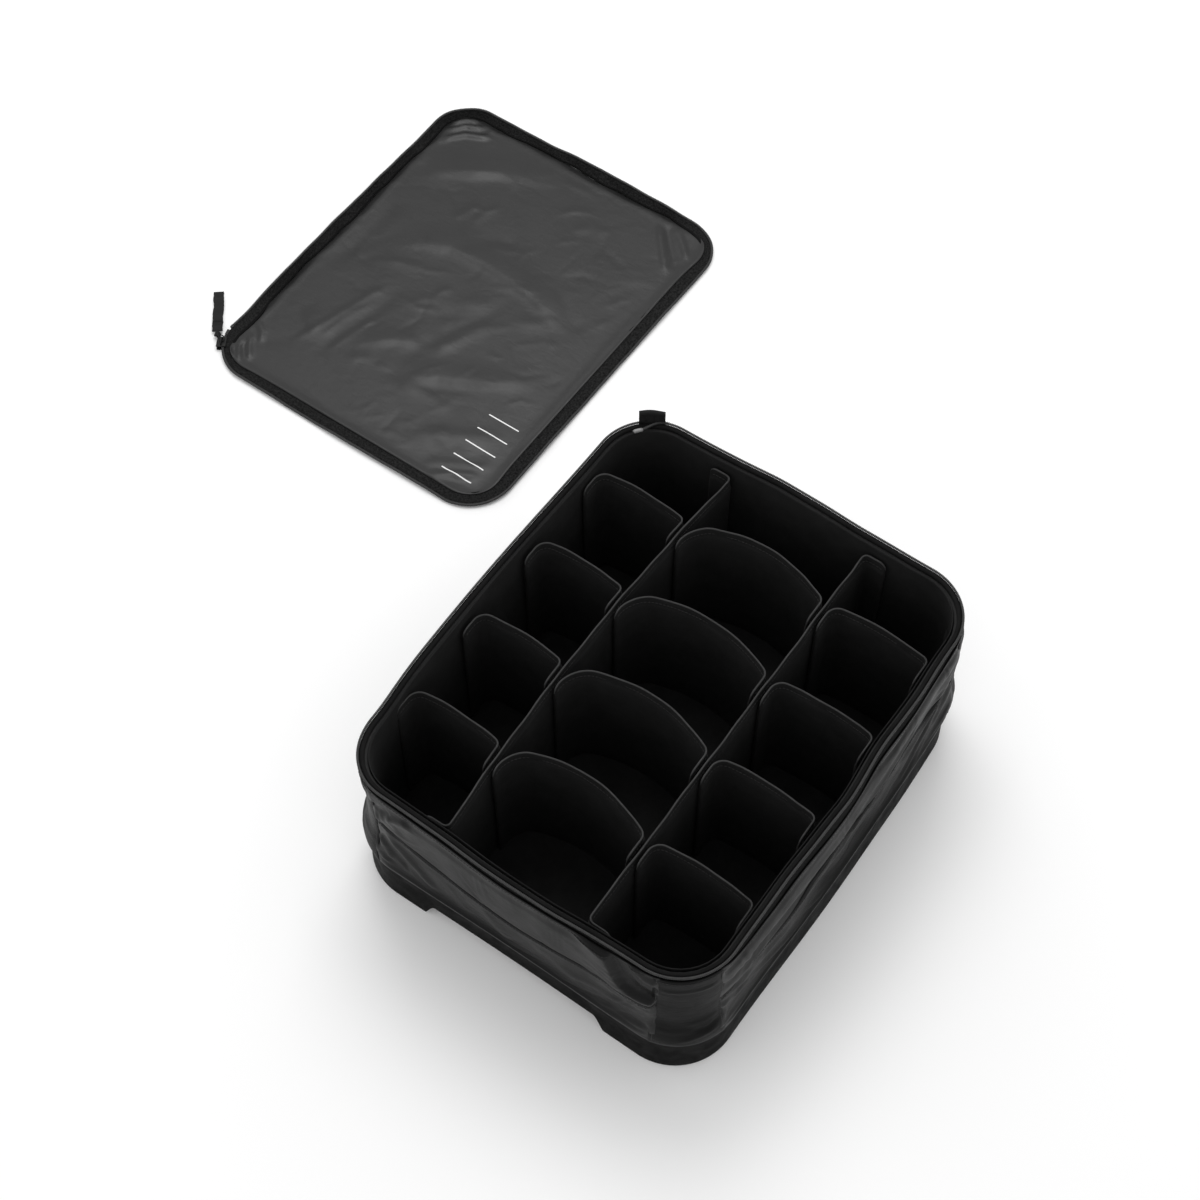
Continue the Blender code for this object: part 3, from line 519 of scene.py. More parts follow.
@dataclass(frozen=True)
class Fold:
    """One fold in a sheet, along a line of points on the flat cloth.

    Its height is the ridge's, or below zero a valley's. It falls off at its own width on each side of
    the line, on the left hand and on the right hand of someone who walks along it.
    """

    line: tuple[tuple[float, float], ...]
    height: float
    left: float
    right: float
    fade: float = 0.25

    def lift(self, x: Array, y: Array) -> Array:
        """How far the fold lifts each place of the sheet, in metres."""
        points = np.array(self.line, float) * MM
        ends = np.cumsum([0.0, *np.hypot(*np.diff(points, axis=0).T)])
        best = np.full(x.shape, np.inf)
        offset, run = np.zeros_like(best), np.zeros_like(best)
        for start, end, before, after in zip(points, points[1:], ends, ends[1:]):
            way = end - start
            share = np.clip(((x - start[0]) * way[0] + (y - start[1]) * way[1]) / (way @ way), 0, 1)
            gap_x, gap_y = x - start[0] - share * way[0], y - start[1] - share * way[1]
            gap = np.hypot(gap_x, gap_y)
            nearer = gap < best
            hand = np.sign(way[0] * gap_y - way[1] * gap_x)
            best = np.where(nearer, gap, best)
            offset = np.where(nearer, gap * hand, offset)
            run = np.where(nearer, before + share * (after - before), run)
        along = run / ends[-1]
        taper = smooth_step(along / self.fade) * smooth_step((1 - along) / self.fade)
        width = np.where(offset > 0, self.left, self.right) * MM
        return self.height * MM * taper * np.exp(-((offset / width) ** 2))


def lifted(folds: Sequence[Fold], x: Array, y: Array) -> Array:
    """The height of a sheet over all its folds."""
    return sum((fold.lift(x, y) for fold in folds), np.zeros_like(x, float))


@dataclass(frozen=True)
class Outline:
    """A rounded rectangle seen from above, walked anticlockwise from the +X end of its back right corner.

    Its runs are by turns a corner and a side. Bows are how far the back, left, front and right sides
    belly out at their middles. Dents are places (run, distance from its middle, width) that stand out or in.
    """

    centre: tuple[float, float]
    half_width: float
    half_length: float
    radius: float
    bows: tuple[float, float, float, float] = (0.0, 0.0, 0.0, 0.0)
    dents: tuple[tuple[int, float, float, float], ...] = ()
    lean: float = 0.0

    def lengths(self) -> Array:
        """The length of each run."""
        arc = self.radius * QUARTER
        short, long = 2 * (self.half_width - self.radius), 2 * (self.half_length - self.radius)
        return np.array([arc, short, arc, long, arc, short, arc, long])

    def starts(self) -> Array:
        """Where each run starts, and last the whole way round."""
        return np.concatenate([[0.0], np.cumsum(self.lengths())])

    def whole(self, pitch: float) -> Array:
        """Stations all the way round, with one at each end of each run."""
        starts = self.starts()
        parts = [even_steps(a, b, pitch)[:-1] for a, b in zip(starts, starts[1:])]
        return np.concatenate([*parts, [starts[-1]]])

    def station(self, turn: float) -> float:
        """The station whose normal has a turn, on a corner, counted on past a whole turn."""
        quarter, rest = divmod(turn, QUARTER)
        starts = self.starts()
        return float(starts[2 * (int(quarter) % 4)]) + rest * self.radius + float(starts[-1]) * (quarter // 4)

    def once_round(self, station: Array) -> Array:
        """Stations brought back to the first time round."""
        return np.mod(station, self.starts()[-1])

    def middle(self, run: int) -> float:
        """The station at the middle of a run."""
        starts = self.starts()
        return float(starts[run] + starts[run + 1]) / 2

    def frame_at(self, station: Array) -> tuple[Array, Array, Array]:
        """Points on the outline, their outward normals, and how far they belly out."""
        starts, lengths = self.starts(), self.lengths()
        way = np.mod(np.asarray(station, float), starts[-1])
        run = np.clip(np.searchsorted(starts, way, side="right") - 1, 0, len(lengths) - 1)
        quarter, on_side, done = run // 2, run % 2 == 1, way - starts[run]
        turn = quarter * QUARTER + np.where(on_side, QUARTER, done / self.radius)
        sign_x, sign_y = np.array([1, -1, -1, 1])[quarter], np.array([1, 1, -1, -1])[quarter]
        normal = np.stack([np.cos(turn), np.sin(turn)], axis=-1)
        along = np.where(on_side, done, 0.0)
        x = self.centre[0] + sign_x * (self.half_width - self.radius) + self.radius * normal[..., 0]
        y = self.centre[1] + sign_y * (self.half_length - self.radius) + self.radius * normal[..., 1]
        point = np.stack([x - normal[..., 1] * along, y + normal[..., 0] * along], axis=-1)
        point[..., 0] += self.leaning(point[..., 0] - self.centre[0], point[..., 1] - self.centre[1])
        belly = np.where(on_side, np.array(self.bows)[quarter] * np.sin(math.pi * done / lengths[run]) ** 2, 0)
        for dented, offset, width, out in self.dents:
            away = np.mod(way - self.middle(dented) - offset + starts[-1] / 2, starts[-1]) - starts[-1] / 2
            belly = belly + out * np.exp(-((away / width) ** 2))
        return point, normal, belly

    def leaning(self, x: Array, y: Array) -> Array:
        """How far a point's x moves because the right side leans out towards the back."""
        return self.lean * y * smooth_step(x / self.half_width)

    def at(self, station: Array, inset: Array | float = 0.0, height: Array | float = 0.0,
           belly_share: Array | float = 0.0) -> Array:
        """Points beside the outline.

        Args:
            station: distance along it.
            inset: distance inside it.
            height: height above the floor.
            belly_share: share of the sides' bows.

        Returns:
            The points.
        """
        point, normal, belly = self.frame_at(station)
        out = belly * belly_share - inset
        flat = point + normal * np.asarray(out)[..., None]
        return raised(flat, height)


def to_mesh(work: bmesh.types.BMesh, name: str) -> bpy.types.Mesh:
    """Turns a bmesh into a mesh and frees it."""
    mesh = bpy.data.meshes.new(name)
    work.to_mesh(mesh)
    work.free()
    return mesh


@contextmanager
def reworked(mesh: bpy.types.Mesh) -> Iterator[bmesh.types.BMesh]:
    """A mesh opened for a few steps and written back after them."""
    work = bmesh.new()
    work.from_mesh(mesh)
    yield work
    work.to_mesh(mesh)
    work.free()


def fill_openings(work: bmesh.types.BMesh) -> None:
    """Closes every open edge with a face."""
    bmesh.ops.holes_fill(work, edges=[edge for edge in work.edges if edge.is_boundary], sides=0)


def set_down(name: str, data: bpy.types.ID) -> bpy.types.Object:
    """Makes an object and puts it in the scene."""
    made = bpy.data.objects.new(name, data)
    bpy.context.scene.collection.objects.link(made)
    return made


def nearest(value: Array) -> Array:
    """The whole steps nearest to some stations."""
    return np.rint(value).astype(int)


def raised(flat: Array, height: Array | float = 0.0) -> Array:
    """Level points or directions with their heights."""
    return np.concatenate([flat, np.broadcast_to(height, flat.shape[:-1])[..., None]], axis=-1)


def flat_of(mesh: bpy.types.Mesh) -> Array:
    """Where each face corner lies on the flat cloth, one to a row."""
    flat = np.empty(len(mesh.loops) * 2)
    mesh.uv_layers["flat"].data.foreach_get("uv", flat)
    return flat.reshape(-1, 2)


def corners_of(mesh: bpy.types.Mesh) -> Array:
    """Which point each face corner is at."""
    corner = np.empty(len(mesh.loops), int)
    mesh.loops.foreach_get("vertex_index", corner)
    return corner


def points_of(mesh: bpy.types.Mesh) -> Array:
    """The mesh's points, one to a row."""
    flat = np.empty(len(mesh.vertices) * 3)
    mesh.vertices.foreach_get("co", flat)
    return flat.reshape(-1, 3)


def welded(node: str) -> bmesh.types.BMesh:
    """An open copy of a CAD node's mesh with its doubles merged."""
    work = bmesh.new()
    work.from_mesh(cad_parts[node].data)
    bmesh.ops.remove_doubles(work, verts=work.verts, dist=WELD)
    return work


def woven(name: str, across: Array, up: Array, place: Place, weld: bool = False,
          caps: bool = False) -> bpy.types.Mesh:
    """A sheet of even squares whose points are moved to their places, with its flat size as UV map.

    Args:
        name: the mesh's name.
        across: stations across the sheet, in metres.
        up: stations up it.
        place: gives the place of each point from its two stations.
        weld: joins edges that meet, as on a tube or a ring.
        caps: closes what is still open after that.

    Returns:
        The mesh.
    """
    work = bmesh.new()
    bmesh.ops.create_grid(work, x_segments=len(across) - 1, y_segments=len(up) - 1, size=1.0)
    mesh = to_mesh(work, name)
    flat = points_of(mesh)
    column = nearest((flat[:, 0] + 1) / 2 * (len(across) - 1))
    row = nearest((flat[:, 1] + 1) / 2 * (len(up) - 1))
    mesh.vertices.foreach_set("co", place(across[column], up[row]).ravel())
    corner = corners_of(mesh)
    layer = mesh.uv_layers.new(name="flat")
    layer.data.foreach_set("uv", np.stack([across[column[corner]], up[row[corner]]], axis=1).ravel())
    if weld or caps:
        with reworked(mesh) as work:
            if weld:
                bmesh.ops.remove_doubles(work, verts=work.verts, dist=WELD)
            if caps:
                fill_openings(work)
            bmesh.ops.recalc_face_normals(work, faces=work.faces)
    mesh.update()
    return mesh


def along(path: Array, station: Array) -> Array:
    """Points of a path at stations along it, in whole and part steps."""
    steps = np.arange(len(path))
    return np.stack([np.interp(station, steps, path[:, axis]) for axis in range(path.shape[1])], axis=-1)


def even_path(points: Sequence[Sequence[float]], pitch: float) -> Array:
    """A path through points, with even steps of about a pitch."""
    rough = np.array(points, float)
    way = np.concatenate([[0.0], np.cumsum(np.linalg.norm(np.diff(rough, axis=0), axis=1))])
    stations = even_steps(0, way[-1], pitch)
    return np.stack([np.interp(stations, way, rough[:, axis]) for axis in range(rough.shape[1])], axis=-1)


def rounded(points: Sequence[Sequence[float]], steps: int = 6) -> Array:
    """A Catmull-Rom curve through points."""
    fixed = [np.array(point, float) for point in points]
    fixed = [2 * fixed[0] - fixed[1], *fixed, 2 * fixed[-1] - fixed[-2]]
    path = []
    for before, start, end, after in zip(fixed, fixed[1:], fixed[2:], fixed[3:]):
        for t in np.arange(steps) / steps:
            path.append(0.5 * (2 * start + (end - before) * t
                               + (2 * before - 5 * start + 4 * end - after) * t ** 2
                               + (3 * start - before - 3 * end + after) * t ** 3))
    path.append(fixed[-2])
    return np.array(path)


def flat_frames(path: Array) -> Array:
    """The sideways direction at each point of a level path, to its left hand."""
    way = np.gradient(path[:, :2], axis=0)
    way /= np.linalg.norm(way, axis=1)[:, None]
    return np.stack([-way[:, 1], way[:, 0]], axis=1)


def show(name: str, mesh: bpy.types.Mesh, body: str, finish: bpy.types.Material,
         replaces: Sequence[str] = (), smooth: bool = True) -> bpy.types.Object:
    """Makes a mesh a finished piece of the set.

    Args:
        name: the piece's name.
        mesh: its mesh, in place.
        body: the body that it rides on.
        finish: its material.
        replaces: CAD nodes that it stands for.
        smooth: whether its faces shade as one surface.

    Returns:
        The piece.
    """
    mesh.materials.append(finish)
    mesh.shade_smooth() if smooth else mesh.shade_flat()
    piece = set_down(name, mesh)
    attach(piece, body)
    if replaces:
        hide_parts(*replaces)
    log.info("%s on %s: %d faces", name, body, len(mesh.polygons))
    return piece


def thicken(piece: bpy.types.Object, thickness: float, offset: float = -1.0) -> bpy.types.Object:
    """Gives a sheet its thickness, inwards unless told otherwise."""
    modifier = piece.modifiers.new("thickness", "SOLIDIFY")
    modifier.thickness = thickness
    modifier.offset = offset
    return piece


def soften(piece: bpy.types.Object, width: float, segments: int = 2, limit: float = 40.0) -> bpy.types.Object:
    """Eases a piece's sharp edges."""
    modifier = piece.modifiers.new("eased edges", "BEVEL")
    modifier.width = width
    modifier.segments = segments
    modifier.limit_method = "ANGLE"
    modifier.angle_limit = math.radians(limit)
    return piece


def joined(meshes: Sequence[bpy.types.Mesh], name: str) -> bpy.types.Mesh:
    """Several meshes as one."""
    work = bmesh.new()
    for mesh in meshes:
        work.from_mesh(mesh)
        bpy.data.meshes.remove(mesh)
    return to_mesh(work, name)


def small_bar(size: tuple[float, float, float], ease: float) -> bpy.types.Mesh:
    """A small bar with eased edges, at the origin.

    Args:
        size: its length, width and height.
        ease: the width of its bevels.

    Returns:
        The mesh.
    """
    work = bmesh.new()
    bmesh.ops.create_cube(work, size=1.0)
    bmesh.ops.scale(work, verts=work.verts, vec=size)
    bmesh.ops.bevel(work, geom=work.edges[:], offset=ease, affect="EDGES", segments=1, profile=0.5, material=-1)
    return to_mesh(work, "bar")


def repeated(name: str, shape: bpy.types.Mesh, places: Array, ways: Array, ups: Array) -> bpy.types.Mesh:
    """One small shape set down many times.

    Args:
        name: the mesh's name.
        shape: the small mesh, its length along X and its top along Z.
        places: where each one goes.
        ways: which way each one's length points.
        ups: which way each one's top points.

    Returns:
        One mesh of them all.
    """
    work = bmesh.new()
    local = points_of(shape)
    ways = ways / np.linalg.norm(ways, axis=1)[:, None]
    ups = ups - ways * np.sum(ways * ups, axis=1)[:, None]
    ups /= np.linalg.norm(ups, axis=1)[:, None]
    sides = np.cross(ups, ways)
    for _ in places:
        work.from_mesh(shape)
    mesh = to_mesh(work, name)
    turned = (local[None, :, 0, None] * ways[:, None] + local[None, :, 1, None] * sides[:, None]
              + local[None, :, 2, None] * ups[:, None] + places[:, None])
    mesh.vertices.foreach_set("co", turned.ravel())
    mesh.update()
    bpy.data.meshes.remove(shape)
    return mesh


@dataclass(frozen=True)
class Settling:
    """A short cloth simulation that lets a sheet fall into its folds."""

    frames: int = 22
    gravity: float = 1.0
    tension: float = 15.0
    bending: float = 0.03
    cap: float = 0.010
    clearance: float = 0.0008
    quality: int = 6

    def run(self, mesh: bpy.types.Mesh, held: Array, flat: Array,
            obstacles: Sequence[bpy.types.Mesh]) -> Array:
        """Settles a sheet.

        Args:
            mesh: the sheet as it starts.
            held: how firmly each point is held, from 0 to 1.
            flat: where each point would lie on the cut cloth, which may be larger than the sheet.
            obstacles: meshes that it can't pass through.

        Returns:
            The new place of each point.
        """
        start = points_of(mesh)
        scene = bpy.context.scene
        cloth = set_down("settling_cloth", mesh.copy())
        group = cloth.vertex_groups.new(name="held")
        for level in np.unique(held):
            if level > 0:
                group.add(np.flatnonzero(held == level).tolist(), float(level), "REPLACE")
        cloth.shape_key_add(name="as placed")
        cut = cloth.shape_key_add(name="as cut")
        cut.data.foreach_set("co", flat.ravel())
        modifier = cloth.modifiers.new("settle", "CLOTH")
        values = modifier.settings
        values.quality = self.quality
        values.mass = 0.12
        values.air_damping = 2.0
        for stiffness in ("tension_stiffness", "compression_stiffness", "shear_stiffness"):
            setattr(values, stiffness, self.tension)
        values.bending_stiffness = self.bending
        values.vertex_group_mass = "held"
        values.rest_shape_key = cut
        values.effector_weights.gravity = self.gravity
        modifier.collision_settings.distance_min = self.clearance
        modifier.collision_settings.use_self_collision = False
        modifier.point_cache.frame_start, modifier.point_cache.frame_end = 1, self.frames
        walls = []
        for obstacle in obstacles:
            wall = set_down("settling_wall", obstacle)
            wall.modifiers.new("wall", "COLLISION")
            wall.collision.thickness_outer = self.clearance
            walls.append(wall)
        for step in range(1, self.frames + 1):
            scene.frame_set(step)
        graph = bpy.context.evaluated_depsgraph_get()
        settled = cloth.evaluated_get(graph).to_mesh()
        points = points_of(settled)
        cloth.evaluated_get(graph).to_mesh_clear()
        for temporary in (cloth, *walls):
            bpy.data.objects.remove(temporary, do_unlink=True)
        scene.frame_set(1)
        moved = points - start
        size = np.linalg.norm(moved, axis=1)
        keep = np.where(size > self.cap, self.cap / np.maximum(size, 1e-9), 1.0)
        log.info("settled %s: furthest move %.1f mm", mesh.name, size.max() / MM)
        return start + moved * keep[:, None]


# Box


@dataclass
class BoxPlan:
    """The sizes that the box's pieces share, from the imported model."""

    centre: tuple[float, float] = (0.0, 0.0)
    half_width: float = 0.180
    half_length: float = 0.220
    corner: float = 0.052
    top: float = 0.190
    base_top: float = 0.058
    bows: tuple[float, float, float, float] = (0.0034, 0.0025, 0.0041, 0.0034)
    dents: tuple[tuple[int, float, float, float], ...] = (
        (3, 0.170, 0.042, -0.0045), (7, 0.050, 0.026, -0.0018), (7, -0.006, 0.022, 0.0012),
        (7, 0.112, 0.024, 0.0012), (7, -0.090, 0.028, -0.0010), (5, 0.045, 0.020, 0.0006),
        (5, -0.060, 0.024, -0.0007), (1, 0.030, 0.022, 0.0009), (1, -0.050, 0.026, -0.0009))
    base_out: float = 0.0043
    base_shift: float = 0.0016
    base_bows: tuple[float, float, float, float] = (0.0010, 0.0, -0.0012, 0.0038)
    base_dents: tuple[tuple[int, float, float, float], ...] = ((7, 0.125, 0.065, 0.0026),)
    waists: tuple[tuple[int, float, float, float], ...] = ((4, -0.010, 0.036, 0.0042), (0, -0.010, 0.040, -0.0032))
    seam_top: float = 0.120
    hem_top: float = 0.171
    band_half: float = 0.030
    foot_lap: float = 0.0032
    ease_top: float = 0.046
    ease_run: float = 0.042
    outline: Outline = field(init=False)
    base: Outline = field(init=False)

    def __post_init__(self) -> None:
        """Reads the box's place from the rim and lays out its outline."""
        low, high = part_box("rim_binding")
        self.centre = ((low.x + high.x) / 2, (low.y + high.y) / 2)
        self.half_width, self.half_length, self.top = (high.x - low.x) / 2, (high.y - low.y) / 2, high.z
        self.outline = Outline(self.centre, self.half_width, self.half_length, self.corner, self.bows, self.dents)
        self.base = Outline(self.centre, self.half_width, self.half_length, self.corner, self.base_bows,
                            self.base_dents)

    def foot_share(self, height: Array) -> Array:
        """How much of the foot's standing out is left at a height."""
        return smooth_step((self.base_top + self.ease_top - height) / self.ease_run)

    def foot_out(self, station: Array) -> Array:
        """How far the tray's face stands outside the rim's outline."""
        _, normal, belly = self.base.frame_at(station)
        return self.base_out + self.base_shift * normal[..., 0] + belly

    def slack(self, height: Array | float) -> Array:
        """Share of the sides' bows at a height: none at the base and all of it at the rim."""
        return smooth_step((np.asarray(height) - self.base_top) / (self.top - self.base_top))

    def at(self, station: Array, inset: Array | float, height: Array | float) -> Array:
        """Points beside the box's outline at a height, with the walls' bow."""
        return self.outline.at(station, inset + self.drawn_in(station, height), height, self.slack(height))

    def drawn_in(self, station: Array, height: Array | float) -> Array:
        """How far the walls are drawn in at two corners, or bulge, between tray and rim."""
        whole = self.outline.starts()[-1]
        rise = np.clip((np.asarray(height) - self.base_top) / (self.top - self.base_top), 0, 1)
        total = 0.0
        for run, offset, width, depth in self.waists:
            away = np.mod(station - self.outline.middle(run) - offset + whole / 2, whole) - whole / 2
            total = total + depth * np.exp(-((away / width) ** 2)) * np.sin(math.pi * rise)
        return total


@dataclass
class BaseTray:
    """The moulded tray under the box: upright wall, rounded foot and a channel along its underside."""

    plan: BoxPlan
    rack: Rack
    wall: float = 0.0043
    edge: float = 0.0035
    floor: float = 0.0185
    channel_half: float = 0.083
    channel_slope: float = 0.015
    channel_depth: float = 0.015
    flare: float = 0.0240
    flare_inset: float = 0.0085

    def profile(self) -> Array:
        """Insets and heights of the wall's section, from the middle of the foot up, over and down."""
        rows = [(0.030, 0.0)]
        for step in range(7):
            angle = QUARTER * step / 6
            rows.append((self.edge * (1 - math.sin(angle)) - self.wall, self.edge * (1 - math.cos(angle))))
        top = self.plan.base_top
        rows += [(-self.wall + 0.0009, 0.026), (-self.wall + 0.0002, top - 0.0052)]
        rows += [(-self.wall, top - down) for down in (0.0040, 0.0016, 0.0004, 0.0)]
        rows += [(-0.0010, top), (-0.0003, top - 0.0007), (-0.0003, self.floor), (0.030, self.floor)]
        return np.array(rows)

    def build(self) -> bpy.types.Object:
        """Makes the tray."""
        rows = self.profile()
        plan = self.plan

        def place(station: Array, row: Array) -> Array:
            """The tray's skin."""
            values = along(rows, row)
            outer = ((row > 0.5) & (row < 13.5)).astype(float)
            return plan.outline.at(station, values[:, 0] - outer * (plan.foot_out(station) - self.wall), values[:, 1])

        mesh = woven("moulded_tray", plan.outline.whole(0.004), np.arange(float(len(rows))), place,
                     weld=True, caps=True)
        piece = show("moulded_tray", mesh, "box", self.rack.moulding, ["base_shell"])
        cutter = self.channel_cutter()
        modifier = piece.modifiers.new("channel", "BOOLEAN")
        modifier.object = cutter
        modifier.solver = "EXACT"
        finished(piece)
        bpy.data.objects.remove(cutter, do_unlink=True)
        self.sharpen(piece.data)
        return piece

    def channel_cutter(self) -> bpy.types.Object:
        """A bar with the section of the channel: eased slopes on both sides of a flat ceiling."""
        shares = np.linspace(0, 1, 13)
        drop = (1 - np.cos(math.pi * shares)) / 2
        right = [(self.channel_half + self.channel_slope * (1 - s), self.channel_depth * d)
                 for s, d in zip(shares, drop)]
        section = [(self.channel_half + self.channel_slope, -0.02)] + right
        section = np.array(section + [(-x, z) for x, z in section[::-1]] + section[:1])
        outer = self.plan.half_length + self.wall
        rows = np.array([-outer - 0.02, -outer, self.flare_inset - outer, 0.0, outer - self.flare_inset, outer,
                         outer + 0.02])

        def place(step: Array, y: Array) -> Array:
            """The cutter's skin, higher at both ends."""
            flat = section[nearest(step)]
            end = np.clip((np.abs(y) - outer + self.flare_inset) / self.flare_inset, 0, 1)
            tall = 1 + end * (self.flare / self.channel_depth - 1)
            height = np.where(flat[:, 1] > 0, flat[:, 1] * tall, flat[:, 1])
            return np.stack([self.plan.centre[0] + flat[:, 0], self.plan.centre[1] + y, height], axis=1)

        mesh = woven("channel_cutter", np.arange(float(len(section))), rows, place, weld=True, caps=True)
        return set_down("channel_cutter", mesh)

    @staticmethod
    def sharpen(mesh: bpy.types.Mesh) -> None:
        """Keeps the moulding's real corners crisp and everything else smooth."""
        mesh.set_sharp_from_angle(angle=math.radians(38))


def finished(piece: bpy.types.Object) -> None:
    """Applies a piece's modifiers to its mesh."""
    graph = bpy.context.evaluated_depsgraph_get()
    made = bpy.data.meshes.new_from_object(piece.evaluated_get(graph), depsgraph=graph)
    piece.modifiers.clear()
    old = piece.data
    piece.data = made
    made.name = old.name
    bpy.data.meshes.remove(old)


@dataclass
class Filling:
    """What is inside the walls: foam pads, the board's foam, and the velour lining over them."""

    plan: BoxPlan
    rack: Rack
    pad_inset: float = 0.0015
    pad_thickness: float = 0.006
    lining_inset: float = 0.0083
    floor: float = 0.0279
    pad_foot: float = 0.0188
    pad_top: float = 0.1850

    def build(self) -> None:
        """Makes the foam and the lining."""
        self.wall_foam()
        self.floor_foam()
        self.lining()

    def wall_foam(self) -> None:
        """Foam round the walls, in one run with rounded edges."""
        plan, middle, half = self.plan, self.pad_inset + self.pad_thickness / 2, self.pad_thickness / 2 - 0.0002
        turns = np.linspace(0, 2 * math.pi, 17)
        centre, reach = (self.pad_foot + self.pad_top) / 2, (self.pad_top - self.pad_foot) / 2 - 0.0003

        def place(station: Array, turn: Array) -> Array:
            """A flat oval section."""
            swing, rise = np.cos(turn), np.sin(turn)
            inset = middle - half * np.sign(swing) * np.abs(swing) ** 0.35
            height = centre + reach * np.sign(rise) * np.abs(rise) ** 0.12
            return plan.at(station, inset, height)

        mesh = woven("wall_foam", plan.outline.whole(0.012), turns, place, weld=True)
        nodes = [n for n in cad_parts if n.startswith(("wall_pad_", "corner_pad_"))]
        show("wall_foam", mesh, "box", self.rack.foam, nodes)

    def floor_foam(self) -> None:
        """The floor's foam sheet, with rounded edges."""
        low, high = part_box("floor_pad")
        mesh = cushion("floor_foam", self.plan.outline, 0.0086, float(low.z) + 0.0001, float(high.z) - 0.0001)
        show("floor_foam", mesh, "box", self.rack.foam, ["floor_pad"])

    def lining(self) -> None:
        """Velour walls that run down into the floor, and the floor itself."""
        plan = self.plan
        heights = np.concatenate([even_steps(self.floor, 0.150, 0.006), even_steps(0.154, 0.1868, 0.003)])
        round_in = 0.004

        def place(station: Array, height: Array) -> Array:
            """The wall, eased into the floor and a little uneven."""
            near_floor = np.clip(1 - (height - self.floor) / round_in, 0, 1)
            uneven = 0.0006 * rumple(station, height, 5, 0.11) * smooth_step((height - 0.03) / 0.03)
            inset = self.lining_inset + round_in * (1 - np.sqrt(1 - near_floor ** 2)) + uneven * 0.5
            return plan.at(station, inset, height)

        walls = woven("lining_walls", plan.outline.whole(0.008), heights, place, weld=True)
        bmesh_flip(walls)
        floor = flat_floor("lining_floor", plan.outline, self.lining_inset + round_in, self.floor)
        # The lining's lighter velour is painted light in the compartments.
        piece = show("velour_lining", joined([walls, floor], "velour_lining"), "box", self.rack.velour,
                     ["lining"])
        with reworked(piece.data) as work:
            bmesh.ops.remove_doubles(work, verts=work.verts, dist=LINING_WELD)
        thicken(piece, 0.0006)
        around = float(plan.outline.starts()[-1])


def bmesh_flip(mesh: bpy.types.Mesh) -> None:
    """Turns a sheet's faces to its other side."""
    with reworked(mesh) as work:
        bmesh.ops.reverse_faces(work, faces=work.faces)


def squared(x: Array, y: Array, half_x: float, half_y: float, radius: float) -> tuple[Array, Array]:
    """Moves the points of a full rectangle into a rounded one, by easing each square corner round.

    Args:
        x: first coordinate from the middle.
        y: second coordinate.
        half_x: half the width.
        half_y: half the length.
        radius: radius of the corners.

    Returns:
        The new coordinates.
    """
    over_x = np.clip((np.abs(x) - (half_x - radius)) / radius, 0, 1)
    over_y = np.clip((np.abs(y) - (half_y - radius)) / radius, 0, 1)
    new_x = (half_x - radius) + radius * over_x * np.sqrt(1 - over_y ** 2 / 2)
    new_y = (half_y - radius) + radius * over_y * np.sqrt(1 - over_x ** 2 / 2)
    return (np.where(over_x > 0, np.sign(x) * new_x, x), np.where(over_y > 0, np.sign(y) * new_y, y))


def flat_floor(name: str, outline: Outline, inset: float, height: float) -> bpy.types.Mesh:
    """A level sheet inside an outline."""
    half_x, half_y, radius = outline.half_width - inset, outline.half_length - inset, outline.radius - inset

    def place(x: Array, y: Array) -> Array:
        """The sheet's points."""
        new_x, new_y = squared(x, y, half_x, half_y, radius)
        return np.stack([outline.centre[0] + new_x, outline.centre[1] + new_y, np.full_like(x, height)], axis=1)

    return woven(name, even_steps(-half_x, half_x, 0.010), even_steps(-half_y, half_y, 0.010), place)


def cushion(name: str, outline: Outline, inset: float, low: float, high: float) -> bpy.types.Mesh:
    """A flat pad with rounded edges between two heights."""
    middle, half = (low + high) / 2, (high - low) / 2
    turns = np.linspace(-QUARTER, QUARTER, 9)

    def rim(station: Array, turn: Array) -> Array:
        """The pad's rounded edge."""
        return outline.at(station, inset + half * (1 - np.cos(turn)), middle + half * np.sin(turn))

    edge = woven("edge", outline.whole(0.010), turns, rim, weld=True)
    work = bmesh.new()
    work.from_mesh(edge)
    bpy.data.meshes.remove(edge)
    fill_openings(work)
    bmesh.ops.recalc_face_normals(work, faces=work.faces)
    return to_mesh(work, name)


